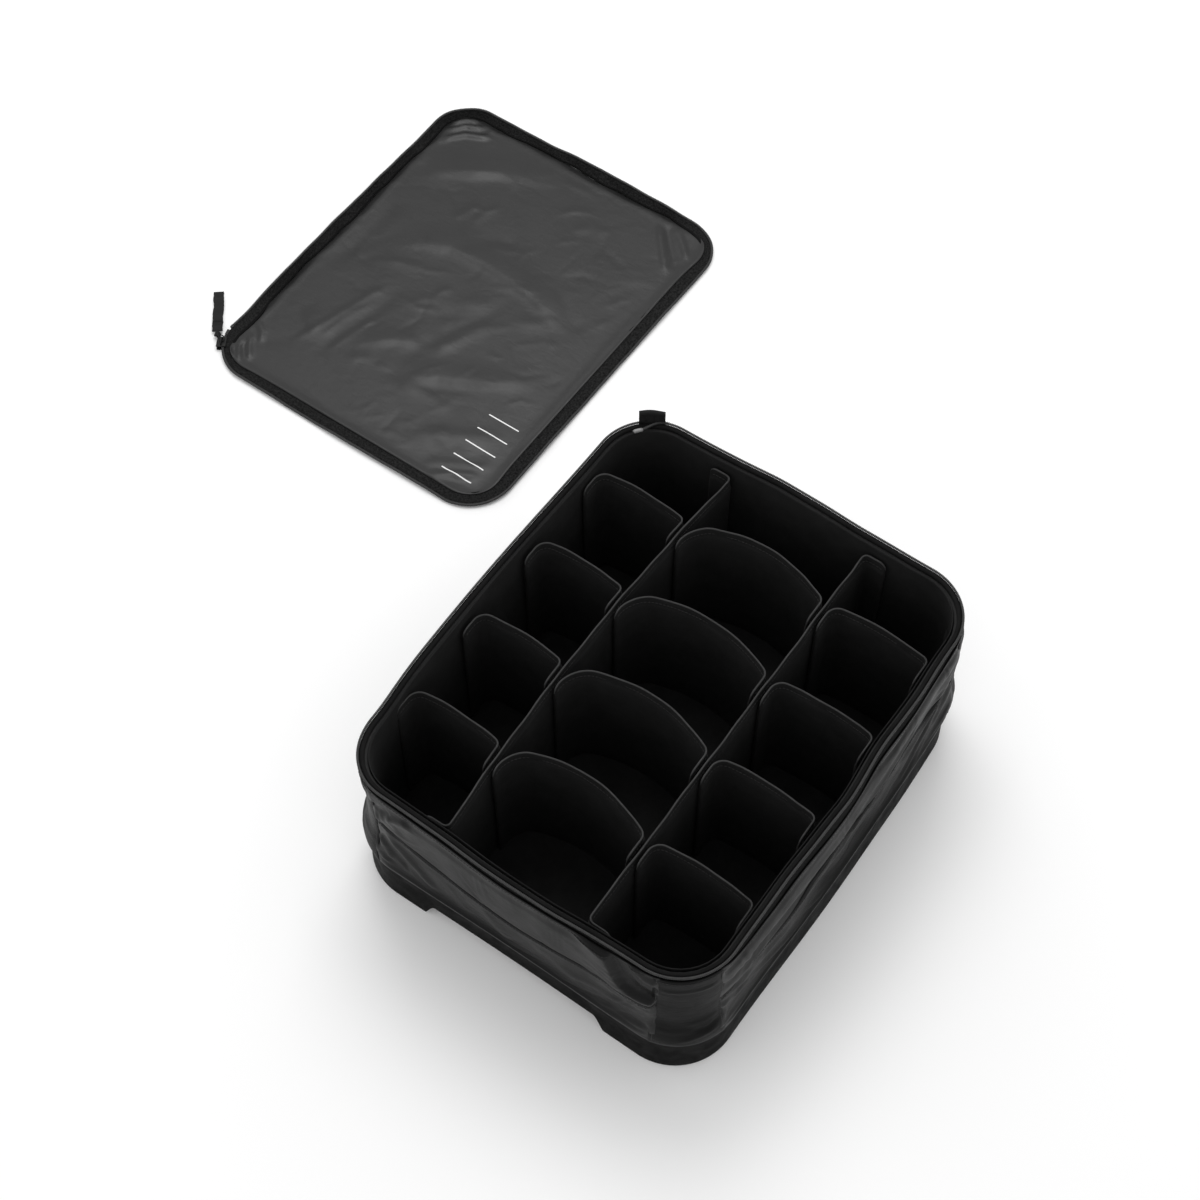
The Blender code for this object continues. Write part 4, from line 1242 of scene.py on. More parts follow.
@dataclass
class WallFabric:
    """The loose nylon over one straight side, in an upper and a lower panel sewn at a sagging seam."""

    plan: BoxPlan
    rack: Rack
    side: Side
    seed: int
    seam_ends: float
    seam_dip: float
    folds: tuple[Fold, ...] = ()
    hem_sag: float = 0.012
    hem_ends: float = 0.184
    hem_waver: float = 0.0011
    upper_bulge: float = 0.0040
    lower_bulge: float = 0.0024
    pitch: float = 0.0024
    tuck: float = 0.0013
    thickness: float = 0.0007
    ease_across: float = 1.035
    ease_up: float = 1.030
    pucker: float = 1.0

    def reach(self) -> float:
        """Half the cloth's length, to a little under the corner bands."""
        lengths = self.plan.outline.lengths()
        return float(lengths[self.side.value]) / 2 + self.plan.corner * QUARTER / 2 - self.plan.band_half + 0.005

    def hem_at(self, x: Array) -> Array:
        """Height of the upper panel's top edge along the side, which sags between the corners."""
        share = np.abs(x / self.reach())
        waver = self.hem_waver * ripple(x, self.seed + 3, (0.13, 0.07))
        return self.hem_ends - self.hem_sag * (1 - share ** 3.0) + waver

    def puckers(self) -> tuple[Fold, ...]:
        """Small folds that fan out of the sewn ends of the side."""
        dice = np.random.default_rng(self.seed * 31)
        made = []
        for hand in (-1, 1):
            for height in np.arange(66, 176, 8.5):
                start = hand * (self.reach() / MM - 5)
                length, drop = dice.uniform(22, 70), dice.uniform(-4, 20)
                low = height + dice.uniform(-3, 3)
                line = ((start, low), (start - hand * length * 0.45, low - drop * 0.6),
                        (start - hand * length, low - drop))
                made.append(Fold(line, self.pucker * dice.uniform(-1.5, 1.9), dice.uniform(2.2, 4.2),
                                 dice.uniform(2.2, 4.2), 0.12))
        return tuple(made)

    def seam_at(self, x: Array) -> Array:
        """Height of the seam along the side."""
        share = x / self.reach()
        return self.seam_ends - self.seam_dip * (1 - share ** 2) ** 1.5 + 0.0012 * ripple(x, self.seed, (0.16, 0.06))

    def build(self) -> None:
        """Shapes the side's cloth, settles it and cuts it into its two panels."""
        plan = self.plan
        middle = plan.outline.middle(self.side.value)
        across = even_steps(-self.reach(), self.reach(), self.pitch)
        foot = plan.base_top - plan.foot_lap
        lower_rows = len(even_steps(foot, plan.seam_top, self.pitch))
        upper_rows = len(even_steps(plan.seam_top, plan.hem_top, self.pitch))
        rows = np.arange(float(lower_rows + upper_rows - 1))
        seam_row = lower_rows - 1

        def place(x: Array, row: Array) -> Array:
            """The cloth before it settles."""
            seam, hem = self.seam_at(x), self.hem_at(x)
            below = np.clip(row / seam_row, 0, 1)
            above = np.clip((row - seam_row) / (upper_rows - 1), 0, 1)
            height = np.where(row <= seam_row, foot + (seam - foot) * below, seam + (hem - seam) * above)
            ends = smooth_step((self.reach() - np.abs(x)) / 0.030)
            belly = (self.upper_bulge * np.sin(math.pi * above) ** 0.8
                     + self.lower_bulge * np.sin(math.pi * np.clip(below, 0, 1)) ** 0.8 * (above <= 0))
            loose = 0.0006 * rumple(x, height * 1.6, self.seed, 0.06)
            free = smooth_step((height - plan.base_top) / 0.012) * smooth_step((hem - height) / 0.010)
            out = (belly * (0.35 + 0.65 * ends) + loose) * free + self.foot_ease(x, height)
            return plan.at(middle + x, -0.0006 - np.maximum(out, -0.0002), height)

        sheet = woven("wall_cloth", across, rows, place)
        points = self.settle(sheet, across, rows, seam_row)
        bpy.data.meshes.remove(sheet)
        points = self.creased(points, across)
        self.panel("lower", across, rows[:seam_row + 1], points, seam_row)
        self.panel("upper", across, rows[seam_row:], points, seam_row)

    def foot_ease(self, x: Array, height: Array) -> Array:
        """How far the cloth's foot stands out, to lap over the tray's top edge."""
        out = self.plan.foot_out(self.plan.outline.middle(self.side.value) + x) + 0.0010
        return out * self.plan.foot_share(height)

    def creased(self, points: Array, across: Array) -> Array:
        """Adds the side's own creases to the settled cloth, outwards and never into the foam.

        Args:
            points: the settled cloth, by column and row.
            across: stations along the side.

        Returns:
            The creased cloth.
        """
        middle = self.plan.outline.middle(self.side.value)
        _, normal, _ = self.plan.outline.frame_at(middle + across)
        x = np.broadcast_to(across[:, None], points.shape[:2])
        height = points[..., 2]
        wall = self.plan.at(middle + across[:, None] + 0 * height, 0.0, height)
        standing = np.sum((points - wall)[..., :2] * normal[:, None, :], axis=-1)
        free = smooth_step((height - self.plan.base_top - 0.001) / 0.010)
        free = free * smooth_step((self.hem_at(x) - height) / 0.006) * smooth_step((self.reach() - np.abs(x)) / 0.005)
        depth = (lifted(self.folds, x, height) + lifted(self.puckers(), x, height)) * free
        wanted = np.maximum(standing + depth, 0.0005)
        most = 0.0085 + 0.7 * self.foot_ease(x, height)
        wanted = np.where(wanted > most, most + (wanted - most) * 0.35, wanted)
        moved = points.copy()
        moved[..., :2] += normal[:, None, :] * (wanted - standing)[..., None]
        return moved

    def settle(self, sheet: bpy.types.Mesh, across: Array, rows: Array, seam_row: int) -> Array:
        """Lets the cloth sag in its frame of sewn edges.

        Args:
            sheet: the cloth as placed.
            across: its stations along the side.
            rows: its rows from the foot up.
            seam_row: the row that is the seam.

        Returns:
            The place of each point, by column and row.
        """
        flat = np.zeros((len(sheet.vertices), 2))
        flat[corners_of(sheet)] = flat_of(sheet)
        x, row = flat[:, 0], flat[:, 1]
        edge = (np.abs(x) > self.reach() - 0.0045) | (row < 3) | (row > rows[-1] - 1.5)
        seam = np.abs(row - seam_row) < 0.5
        held = np.where(edge, 1.0, np.where(seam, 0.10, 0.0))
        height = points_of(sheet)[:, 2]
        cut = np.stack([x * self.ease_across, np.zeros_like(x), height * self.ease_up], axis=1)
        plan = self.plan
        middle = plan.outline.middle(self.side.value)
        backing = woven("backing", even_steps(-self.reach() - 0.01, self.reach() + 0.01, 0.01),
                        even_steps(0.03, 0.19, 0.01), lambda s, z: plan.at(middle + s, 0.0006, z))
        points = Settling().run(sheet, held, cut, [backing])
        column = nearest((x - across[0]) / (across[1] - across[0]))
        placed = np.zeros((len(across), len(rows), 3))
        placed[column, nearest(row)] = points
        return placed

    def panel(self, word: str, across: Array, rows: Array, points: Array, seam_row: int) -> None:
        """One panel of the side, its sewn edges turned in.

        Args:
            word: upper or lower.
            across: stations along the side.
            rows: the rows of the whole cloth that it has.
            points: the settled cloth.
            seam_row: the row that is the seam.
        """
        plan, middle = self.plan, self.plan.outline.middle(self.side.value)
        _, normal, _ = plan.outline.frame_at(middle + across)
        turned = points.copy()
        inward = raised(normal)
        for row, share in ((seam_row, 1.0), (seam_row - 1, 0.25), (seam_row + 1, 0.25)):
            turned[:, row] -= inward * (self.tuck * share)
        last = turned.shape[1] - 1
        for row, share in ((last, -0.55), (last - 1, -0.7), (last - 2, 0.15)):
            turned[:, row] -= inward * (self.tuck * share)

        def place(x: Array, row: Array) -> Array:
            """The settled cloth's points."""
            column = nearest((x - across[0]) / (across[1] - across[0]))
            return turned[column, nearest(row)]

        mesh = woven(f"{word}_panel_{self.side.name.lower()}", across, rows, place)
        flat = flat_of(mesh)
        flat[:, 1] *= self.pitch
        mesh.uv_layers["flat"].data.foreach_set("uv", flat.ravel())
        name = f"{word}_wall_{self.side.name.lower()}"
        piece = show(name, mesh, "box", self.rack.nylon, [f"{word}_panel"])
        thicken(piece, self.thickness)
        width = 2 * self.reach() * self.ease_across
        seam = self.seam_at(across)
        tall = seam - plan.base_top + plan.foot_lap if word == "lower" else self.hem_at(across) - seam
        tall = tall * self.ease_up
        self.stitches(word, turned, seam_row)

    def stitches(self, word: str, turned: Array, seam_row: int) -> None:
        """A row of stitches beside the seam or along the hem."""
        row = seam_row - 2 if word == "lower" else turned.shape[1] - 3
        sew_row(f"{word}_stitches_{self.side.name.lower()}", turned[:, row], self.plan, self.rack.thread)


def sew_row(name: str, line: Array, plan: BoxPlan, thread: bpy.types.Material, pitch: float = 0.0032) -> None:
    """Stitches along a line on the box's outside.

    Args:
        name: the piece's name.
        line: points on the cloth.
        plan: the box.
        thread: the finish.
        pitch: distance from stitch to stitch.
    """
    path = even_path(line, pitch)
    middles = (path[1:] + path[:-1]) / 2
    ways = path[1:] - path[:-1]
    out = middles - np.array([*plan.centre, 0.0])
    half = np.array([plan.half_width - plan.corner, plan.half_length - plan.corner])
    flat = out[:, :2] - np.clip(out[:, :2], -half, half)
    ups = raised(flat)
    ups /= np.linalg.norm(ups, axis=1)[:, None]
    bar = small_bar((pitch * 0.72, 0.00055, 0.00045), 0.00012)
    mesh = repeated(name, bar, middles + ups * 0.00010, ways, ups)
    show(name, mesh, "box", thread)


@dataclass
class CornerBand:
    """A band of doubled nylon over one corner, sewn down both upright edges."""

    plan: BoxPlan
    rack: Rack
    quarter: int
    name: str
    foot: float = 0.0545
    head: float = 0.1832
    lift: float = 0.0012
    thickness: float = 0.0009

    def build(self) -> None:
        """Makes the band and its stitches."""
        plan, middle = self.plan, self.plan.outline.middle(2 * self.quarter)
        half = plan.band_half
        across = even_steps(-half, half, 0.0022)
        up = even_steps(self.foot, self.head, 0.0022)
        seed = 40 + self.quarter
        puckers = (Fold(((2, 84), (14, 80), (29, 88)), -1.3, 3.5, 3.0),
                   Fold(((-6, 92), (10, 93), (29, 98)), 0.7, 5.0, 3.0),
                   Fold(((-10, 66), (6, 72), (26, 76)), 0.8, 3.0, 2.6),
                   Fold(((-29, 84), (-12, 82), (6, 84)), 0.4, 3.2, 2.6),
                   Fold(((-28, 163), (0, 164), (28, 162)), 0.9, 1.8, 3.0))

        def lift_at(x: Array, height: Array) -> Array:
            """How far the band stands off the wall."""
            slack = smooth_step((half - np.abs(x)) / 0.008) * smooth_step((height - self.foot) / 0.006)
            slack = slack * smooth_step((self.head - height) / 0.006)
            loose = lifted(puckers, x * (1 if self.quarter % 2 else -1), height)
            edge = 0.0005 * np.exp(-(((half - 0.0010 - np.abs(x)) / 0.0012) ** 2))
            foot = (plan.foot_out(middle + x) + 0.0007) * plan.foot_share(height)
            return self.lift + edge + foot + slack * (0.0010 + loose + 0.0002 * rumple(x, height, seed, 0.045))

        def place(x: Array, height: Array) -> Array:
            """The band's outer face."""
            return plan.at(middle + x, -lift_at(x, height), height)

        # The band's nylon is the wall nylon darkened: painted shade.
        piece = show(f"corner_band_{self.name}_cloth", woven(f"band_{self.name}", across, up, place), "box",
                     self.rack.band_nylon, [f"corner_band_{self.name}"])
        thicken(piece, self.thickness)
        for word, x in (("near", -half + 0.0030), ("far", half - 0.0030)):
            heights = even_steps(self.foot + 0.002, self.head - 0.002, 0.004)
            line = place(np.full_like(heights, x), heights)
            sew_row(f"corner_band_{self.name}_{word}_stitches", line, plan, self.rack.thread)
        line = place(even_steps(-half + 0.004, half - 0.004, 0.004), np.array([self.head - 0.0045]))
        sew_row(f"corner_band_{self.name}_top_stitches", line, plan, self.rack.thread)


@dataclass
class Rim:
    """The box's top edge: padded collar, zip tape, coils and pin, and the loose end of the chain."""

    plan: BoxPlan
    rack: Rack
    collar_inset: float = 0.0010
    collar_width: float = 0.0038
    coil_inset: float = -0.0006
    coil_height: float = 0.1890
    coil_radius: float = 0.0011
    chain_start: float = math.radians(123)
    chain_end: float = math.radians(467)
    pitch: float = 0.0015

    def build(self) -> None:
        """Makes every piece of the rim."""
        self.collar()
        self.tape()
        self.chain()
        self.pin()
        self.loose_end()

    def collar(self) -> None:
        """A padded roll of velour over the wall's top, pulled in by its stitches."""
        plan = self.plan
        turns = np.linspace(0, 2 * math.pi, 21)
        middle, half = self.collar_inset + self.collar_width / 2, self.collar_width / 2

        def place(station: Array, turn: Array) -> Array:
            """A roll that is flat below and crowned above."""
            plump = 1 + 0.10 * ripple(station, 9, (0.19, 0.07, 0.03))
            swing, rise = np.cos(turn), np.sin(turn)
            inset = middle - half * np.sign(swing) * np.abs(swing) ** 0.75
            crown = np.where(rise > 0, 0.0022 * plump * np.abs(rise) ** 0.8, -0.0022 * np.abs(rise) ** 0.5)
            height = 0.1868 + crown
            return plan.at(station, inset, height)

        mesh = woven("rim_collar", plan.outline.whole(0.0045), turns, place, weld=True)
        show("rim_collar", mesh, "box", self.rack.collar, ["rim_binding"])

    def tape(self) -> None:
        """The zip's tape round the top of the wall, a little uneven."""
        plan = self.plan

        def place(station: Array, height: Array) -> Array:
            """The tape's outer face."""
            waver = 0.0003 * ripple(station, 21, (0.13, 0.05))
            ridge = 0.0003 * np.exp(-(((height - 0.1845) / 0.0008) ** 2))
            return plan.at(station, 0.0001 - ridge + waver * smooth_step((0.187 - height) / 0.01), height)

        mesh = woven("rim_zip_tape", plan.outline.whole(0.004), even_steps(0.1420, 0.1878, 0.0009), place,
                     weld=True)
        piece = show("rim_zip_tape", mesh, "box", self.rack.zip_tape, ["box_zip_tape"])
        thicken(piece, 0.0008)

    def chain(self) -> None:
        """The row of coils along the outer top edge."""
        plan = self.plan
        first, last = plan.outline.station(self.chain_start), plan.outline.station(self.chain_end)
        stations = even_steps(first, last, self.pitch)
        line = plan.at(stations, self.coil_inset, self.coil_height)
        mesh = coil_row("rim_zip_coils", line, self.coil_radius)
        show("rim_zip_coils", mesh, "box", self.rack.coil, ["box_zip_coil"])

    def pin(self) -> None:
        """The pin that ends the chain."""
        path = self.loose_path()[-7:]
        first = self.plan.at(self.plan.outline.station(self.chain_start) + np.linspace(-0.0022, 0.0, 4),
                             self.coil_inset, self.coil_height)
        mesh = joined([rod("pin", path, 0.0019), rod("stop", first, 0.0018)], "rim_zip_pin")
        show("rim_zip_pin", mesh, "box", self.rack.pin, ["box_zip_pin"])

    def loose_end(self) -> None:
        """The free end of the chain, curled in over the collar beside the webbing tab."""
        mesh = coil_row("rim_zip_loose_end", self.loose_path(), 0.0014)
        show("rim_zip_loose_end", mesh, "box", self.rack.coil)

    def loose_path(self) -> Array:
        """The line of the chain's free end, which runs off the rim and inwards over the collar."""
        offsets = np.linspace(0.0, 0.036, 26)
        share = offsets / 0.036
        inset = self.coil_inset + 0.0100 * smooth_step(share * 1.25)
        height = self.coil_height + 0.0021 * smooth_step(share * 3.0)
        stations = self.plan.outline.station(self.chain_end) + offsets
        return even_path(self.plan.at(stations, inset, height), self.pitch)


def coil_row(name: str, line: Array, radius: float) -> bpy.types.Mesh:
    """A row of zip coils, face up: small eased bars across a line, on a cord that runs through them.

    Args:
        name: the mesh's name.
        line: the row's middle, one coil to a point.
        radius: half the chain's width.

    Returns:
        The mesh.
    """
    ways = np.gradient(line, axis=0)
    ways /= np.linalg.norm(ways, axis=1)[:, None]
    across = np.cross(np.broadcast_to(UP, ways.shape), ways)
    pitch = float(np.linalg.norm(line[1] - line[0]))
    bar = small_bar((2 * radius, pitch * 0.66, 1.5 * radius), 0.22 * radius)
    bars = repeated("coils", bar, line, across, np.broadcast_to(UP, ways.shape).astype(float))
    return joined([bars, rod("core", line, radius * 0.82)], name)


def rod(name: str, path: Array, radius: float) -> bpy.types.Mesh:
    """A closed round rod or cord along a path.

    Args:
        name: the mesh's name.
        path: points along its middle.
        radius: its radius.

    Returns:
        The mesh.
    """
    ways = np.gradient(path, axis=0)
    ways /= np.linalg.norm(ways, axis=1)[:, None]
    first = np.cross(ways[0], [0, 0, 1.0])
    if np.linalg.norm(first) < 0.1:
        first = np.array([1.0, 0, 0])
    sideways = []
    for way in ways:
        first = first - way * (first @ way)
        first /= np.linalg.norm(first)
        sideways.append(first)
    sideways = np.array(sideways)
    upward = np.cross(sideways, ways)
    turns = np.linspace(0, 2 * math.pi, ROD_SIDES + 1)

    def place(step: Array, turn: Array) -> Array:
        """The rod's skin."""
        index = nearest(step)
        end = np.minimum(index, len(path) - 1 - index)
        reach = radius * np.where(end == 0, 0.72, 1.0)
        return (path[index] + sideways[index] * (reach * np.cos(turn))[:, None]
                + upward[index] * (reach * np.sin(turn))[:, None])

    return woven(name, np.arange(float(len(path))), turns, place, weld=True, caps=True)


@dataclass
class WebbingTab:
    """A short strip of webbing folded into a loop that stands on the box's back left corner."""

    plan: BoxPlan
    rack: Rack
    turn: float = math.radians(126)
    width: float = 0.0236
    web: float = 0.0015
    outward: float = 0.0004
    lower: float = 0.0036

    def build(self) -> None:
        """Makes the loop, its edges a little bowed, and its box of stitches."""
        low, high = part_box("pull_tab")
        out = np.array([math.cos(self.turn), math.sin(self.turn)])
        centre = np.array([(low.x + high.x) / 2, (low.y + high.y) / 2]) + out * self.outward
        side = np.array([-out[1], out[0]])
        foot, top = float(low.z), float(high.z) - self.lower
        half = self.web / 2 + 0.0006
        rise = top - self.web / 2
        down = [(half * 0.8, rise - half * 0.3), (half * 1.25, rise - half * 1.6), (half, rise - half * 3),
                (half, foot)]
        section = [(-out_by, z) for out_by, z in down[::-1]] + [(0, rise)] + down
        path = rounded(section, 6)
        across = np.linspace(-self.width / 2, self.width / 2, 13)

        def place(step: Array, x: Array) -> Array:
            """The strip's middle surface."""
            point = along(path, step)
            droop = (-0.0022 * smooth_step((-x / self.width) + 0.5) ** 2
                     * smooth_step((point[:, 1] - foot) / (top - foot)))
            lean = (0.0016 * np.sin(math.pi * (x / self.width + 0.5))
                    * smooth_step((point[:, 1] - self.plan.top) / 0.018))
            flat = centre + out * (point[:, 0] + lean)[:, None] + side * x[:, None]
            return raised(flat, point[:, 1] + droop)

        mesh = woven("tab_loop", np.arange(float(len(path))), across, place)
        piece = show("webbing_tab", mesh, "box", self.rack.webbing, ["pull_tab"])
        thicken(piece, self.web, 0.0)
        soften(piece, 0.0003, 2, 60)
        corners = [(-0.009, foot + 0.003), (0.009, foot + 0.003), (0.009, foot + 0.012), (-0.009, foot + 0.012),
                   (-0.009, foot + 0.003)]
        line = np.array([[*(centre + out * (half + self.web / 2) + side * x), z] for x, z in corners])
        sew_row("webbing_tab_stitches", line, self.plan, self.rack.thread, 0.0028)


@dataclass
class DividerRoom:
    """The room inside the lining and the middle lines of its dividers, from their CAD sizes."""

    room_half_width: float = 0.1712
    room_half_length: float = 0.2112
    spacing: float = 0.138
    left_bow: float = 0.010
    fit: float = 0.0003
    long_thickness: float = 0.005
    short_thickness: float = 0.0045
    tight_corner: float = 0.0045
    long_corner: float = 0.005
    long_tab: float = 0.022
    short_tab: float = 0.026

    def long_line(self, side: int, y: Array | float, face: int = 0) -> Array:
        """The x of a long divider's middle or face at a given y."""
        bow = self.left_bow if side < 0 else 0.0
        share = np.asarray(y) / self.room_half_length
        return side * (self.spacing / 2 + bow * (1 - share ** 2)) + face * self.long_thickness / 2

    def long_path(self, side: int) -> Array:
        """The middle line of a long divider with its end tabs."""
        radius = self.long_corner
        end = self.room_half_length - self.fit - self.long_thickness / 2
        corner = [(side * radius * (1 - math.cos(a)), end - radius * (1 - math.sin(a)))
                  for a in np.linspace(QUARTER, 0, 7)]
        back = [(float(self.long_line(side, end)) + side * self.long_tab, end)]
        back += [(float(self.long_line(side, y)) + x, y) for x, y in corner]
        run = [(float(self.long_line(side, y)), y) for y in np.linspace(end - radius, radius - end, 60)[1:-1]]
        return np.array(back + run + [(x, -y) for x, y in back[::-1]])

    def short_path(self, column: str, row: float) -> Array:
        """The middle line of a short divider with its end tabs."""
        faces = {
            "left": (lambda y: -self.room_half_width + 0 * y, lambda y: self.long_line(-1, y, -1), 0.004, 0.010),
            "middle": (lambda y: self.long_line(-1, y, 1), lambda y: self.long_line(1, y, -1), 0.017, 0.019),
            "right": (lambda y: self.long_line(1, y, 1), lambda y: self.room_half_width + 0 * y, 0.004, 0.010),
        }
        left_face, right_face, bow, radius = faces[column]
        offset, tab = self.fit + self.short_thickness / 2, self.short_tab

        def place(share: float, y: float) -> tuple[float, float]:
            """A point at a share of the way between the two faces."""
            left, right = float(left_face(y)) + offset, float(right_face(y)) - offset
            return left + share * (right - left), y

        width = float(right_face(row)) - float(left_face(row)) - 2 * offset
        tight = self.tight_corner

        def bowed(share: float) -> float:
            """The y of the span at a share of its width."""
            return row + bow * (1 - (2 * share - 1) ** 2)

        def corner(reach: float) -> list[tuple[float, float]]:
            """Shares and drops round a corner of a given radius."""
            return [(reach / width * (1 - math.cos(a)), reach * (1 - math.sin(a)))
                    for a in np.linspace(0, QUARTER, 9)]

        left_end = [place(share, bowed(share) - drop) for share, drop in corner(radius)]
        right_end = [place(1 - share, bowed(1 - share) - drop) for share, drop in corner(tight)[::-1]]
        span = [place(share, bowed(share)) for share in np.linspace(radius / width, 1 - tight / width, 26)[1:-1]]
        return np.array([place(0, row - tab)] + left_end + span + right_end + [place(1, row - tab)])


@dataclass
class Divider:
    """One padded divider: foam between velour, pinched at a bound and stitched top edge, with hook tabs."""

    rack: Rack
    node: str
    path: Array
    thickness: float
    tab: float
    low: float
    high: float
    bound: float = 0.0085
    crest_highlight_rows: float = 2.5
    edge_half: float = 0.0008
    corner: float = 0.0075
    seed: int = 0

    def section(self) -> Array:
        """Half thicknesses and heights of the section, from the foot up one face, over and down the other."""
        half, edge, top, foot = self.thickness / 2 - 0.0001, self.edge_half, self.high, self.low
        face = [(half * 0.45, foot + 0.00005), (half * 0.85, foot + 0.0006), (half, foot + 0.0018)]
        face += [(half, z) for z in np.linspace(foot + 0.012, top - self.bound - 0.0075, 7)]
        face += [(half * 0.97, top - self.bound - 0.0050), (half * 0.78, top - self.bound - 0.0024),
                 (edge * 1.02, top - self.bound - 0.0006), (edge * 1.22, top - self.bound + 0.0004),
                 (edge * 1.12, top - self.bound + 0.0028), (edge * 1.05, top - 0.0022), (edge, top - 0.0009),
                 (edge * 0.62, top - 0.0002)]
        return np.array(face + [(0.0, top)] + [(-n, z) for n, z in face[::-1]])

    def build(self) -> None:
        """Makes the panel, its bound edge and its stitches."""
        path = even_path(self.path, 0.0008)
        fine = 13
        kept = [*range(fine), *range(fine + 2, len(path) - fine, 3), *range(len(path) - fine, len(path))]
        path = path[kept]
        ways = np.concatenate([[0.0], np.cumsum(np.hypot(*np.diff(path, axis=0).T))])
        sideways = flat_frames(path)
        section = self.section()
        rows = np.arange(float(len(section)))
        count = len(path)
        room = self.high - self.low

        def place(step: Array, row: Array) -> Array:
            """The panel's skin, a little uneven over its foam."""
            index = nearest(step)
            values = along(section, row)
            end = np.minimum(index, count - 1 - index)
            close = np.array([0.45, 0.80, 0.95])[np.minimum(end, 2)]
            close = np.where(end > 2, 1.0, close)
            way = ways[index]
            up = values[:, 1] - self.low
            pad = smooth_step((self.high - self.bound - values[:, 1]) / 0.02) * smooth_step(up / 0.02)
            free = smooth_step((np.minimum(way, ways[-1] - way) - self.tab) / 0.02)
            dent = 1 - 0.10 * pad * (0.5 + 0.5 * rumple(way, values[:, 1], self.seed, 0.05))
            lean = 0.0006 * free * ripple(way, self.seed + 1, (0.10, 0.04)) * smooth_step(up / room)
            flat = path[index, :2] + sideways[index] * (values[:, 0] * close * dent + lean)[:, None]
            sag = (0.0005 * free * ripple(way, self.seed + 2, (0.12, 0.05))
                   * smooth_step((values[:, 1] - self.high + 0.02) / 0.02))
            height = self.low + up * (1 - self.drop(way, ways[-1]) / room)
            return raised(flat, height + sag)

        mesh = woven(f"{self.node}_pad", np.arange(float(count)), rows, place, weld=False)
        mesh = self.close(mesh)
        # The dividers' velour is lightened like the lining's: painted light.
        mesh.materials.append(self.rack.velour)
        # The top millimetre of the crest takes the lighter finish: painted highlight along the edge.
        mesh.materials.append(self.rack.edge_highlight_and_thread)
        first = np.empty(len(mesh.polygons), int)
        mesh.polygons.foreach_get("loop_start", first)
        row_at = np.maximum.reduceat(np.abs(flat_of(mesh)[:, 1] - len(section) // 2), first)
        mesh.polygons.foreach_set("material_index", (row_at < self.crest_highlight_rows).astype(np.int32))
        mesh.shade_smooth()
        piece = set_down(f"{self.node}_pad", mesh)
        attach(piece, self.node)
        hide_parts(self.node)
        log.info("%s: %d faces", piece.name, len(mesh.polygons))
        self.stitches(path, sideways, ways)

    def drop(self, way: Array, whole: float) -> Array:
        """How far the top edge comes down round the tabs' free corners."""
        reach = np.clip(self.corner - np.minimum(way, whole - way), 0, self.corner)
        return self.corner - np.sqrt(self.corner ** 2 - reach ** 2)

    @staticmethod
    def close(mesh: bpy.types.Mesh) -> bpy.types.Mesh:
        """Joins the section's two ends under the foot and caps the tabs' ends."""
        work = bmesh.new()
        work.from_mesh(mesh)
        name = mesh.name
        bpy.data.meshes.remove(mesh)
        fill_openings(work)
        bmesh.ops.triangulate(work, faces=[face for face in work.faces if len(face.verts) > 4])
        bmesh.ops.recalc_face_normals(work, faces=work.faces)
        return to_mesh(work, name)

    def stitches(self, path: Array, sideways: Array, ways: Array) -> None:
        """Stitches along both faces of the bound edge."""
        pitch = 0.0034
        level = self.high - self.bound + 0.0009 - self.drop(ways, ways[-1])
        level = raised(path, level)
        side = raised(sideways)
        parts = []
        for hand in (1, -1):
            line = even_path(level[4:-4] + side[4:-4] * hand * (self.edge_half * 1.25 + 0.00005), pitch)
            middles, ways = (line[1:] + line[:-1]) / 2, line[1:] - line[:-1]
            ups = np.cross(ways, UP) * -hand
            bar = small_bar((pitch * 0.7, 0.0006, 0.0005), 0.00012)
            parts.append(repeated("row", bar, middles, ways, ups))
        mesh = joined(parts, f"{self.node}_stitches")
        show(f"{self.node}_stitches", mesh, self.node, self.rack.edge_highlight_and_thread)


# Lid


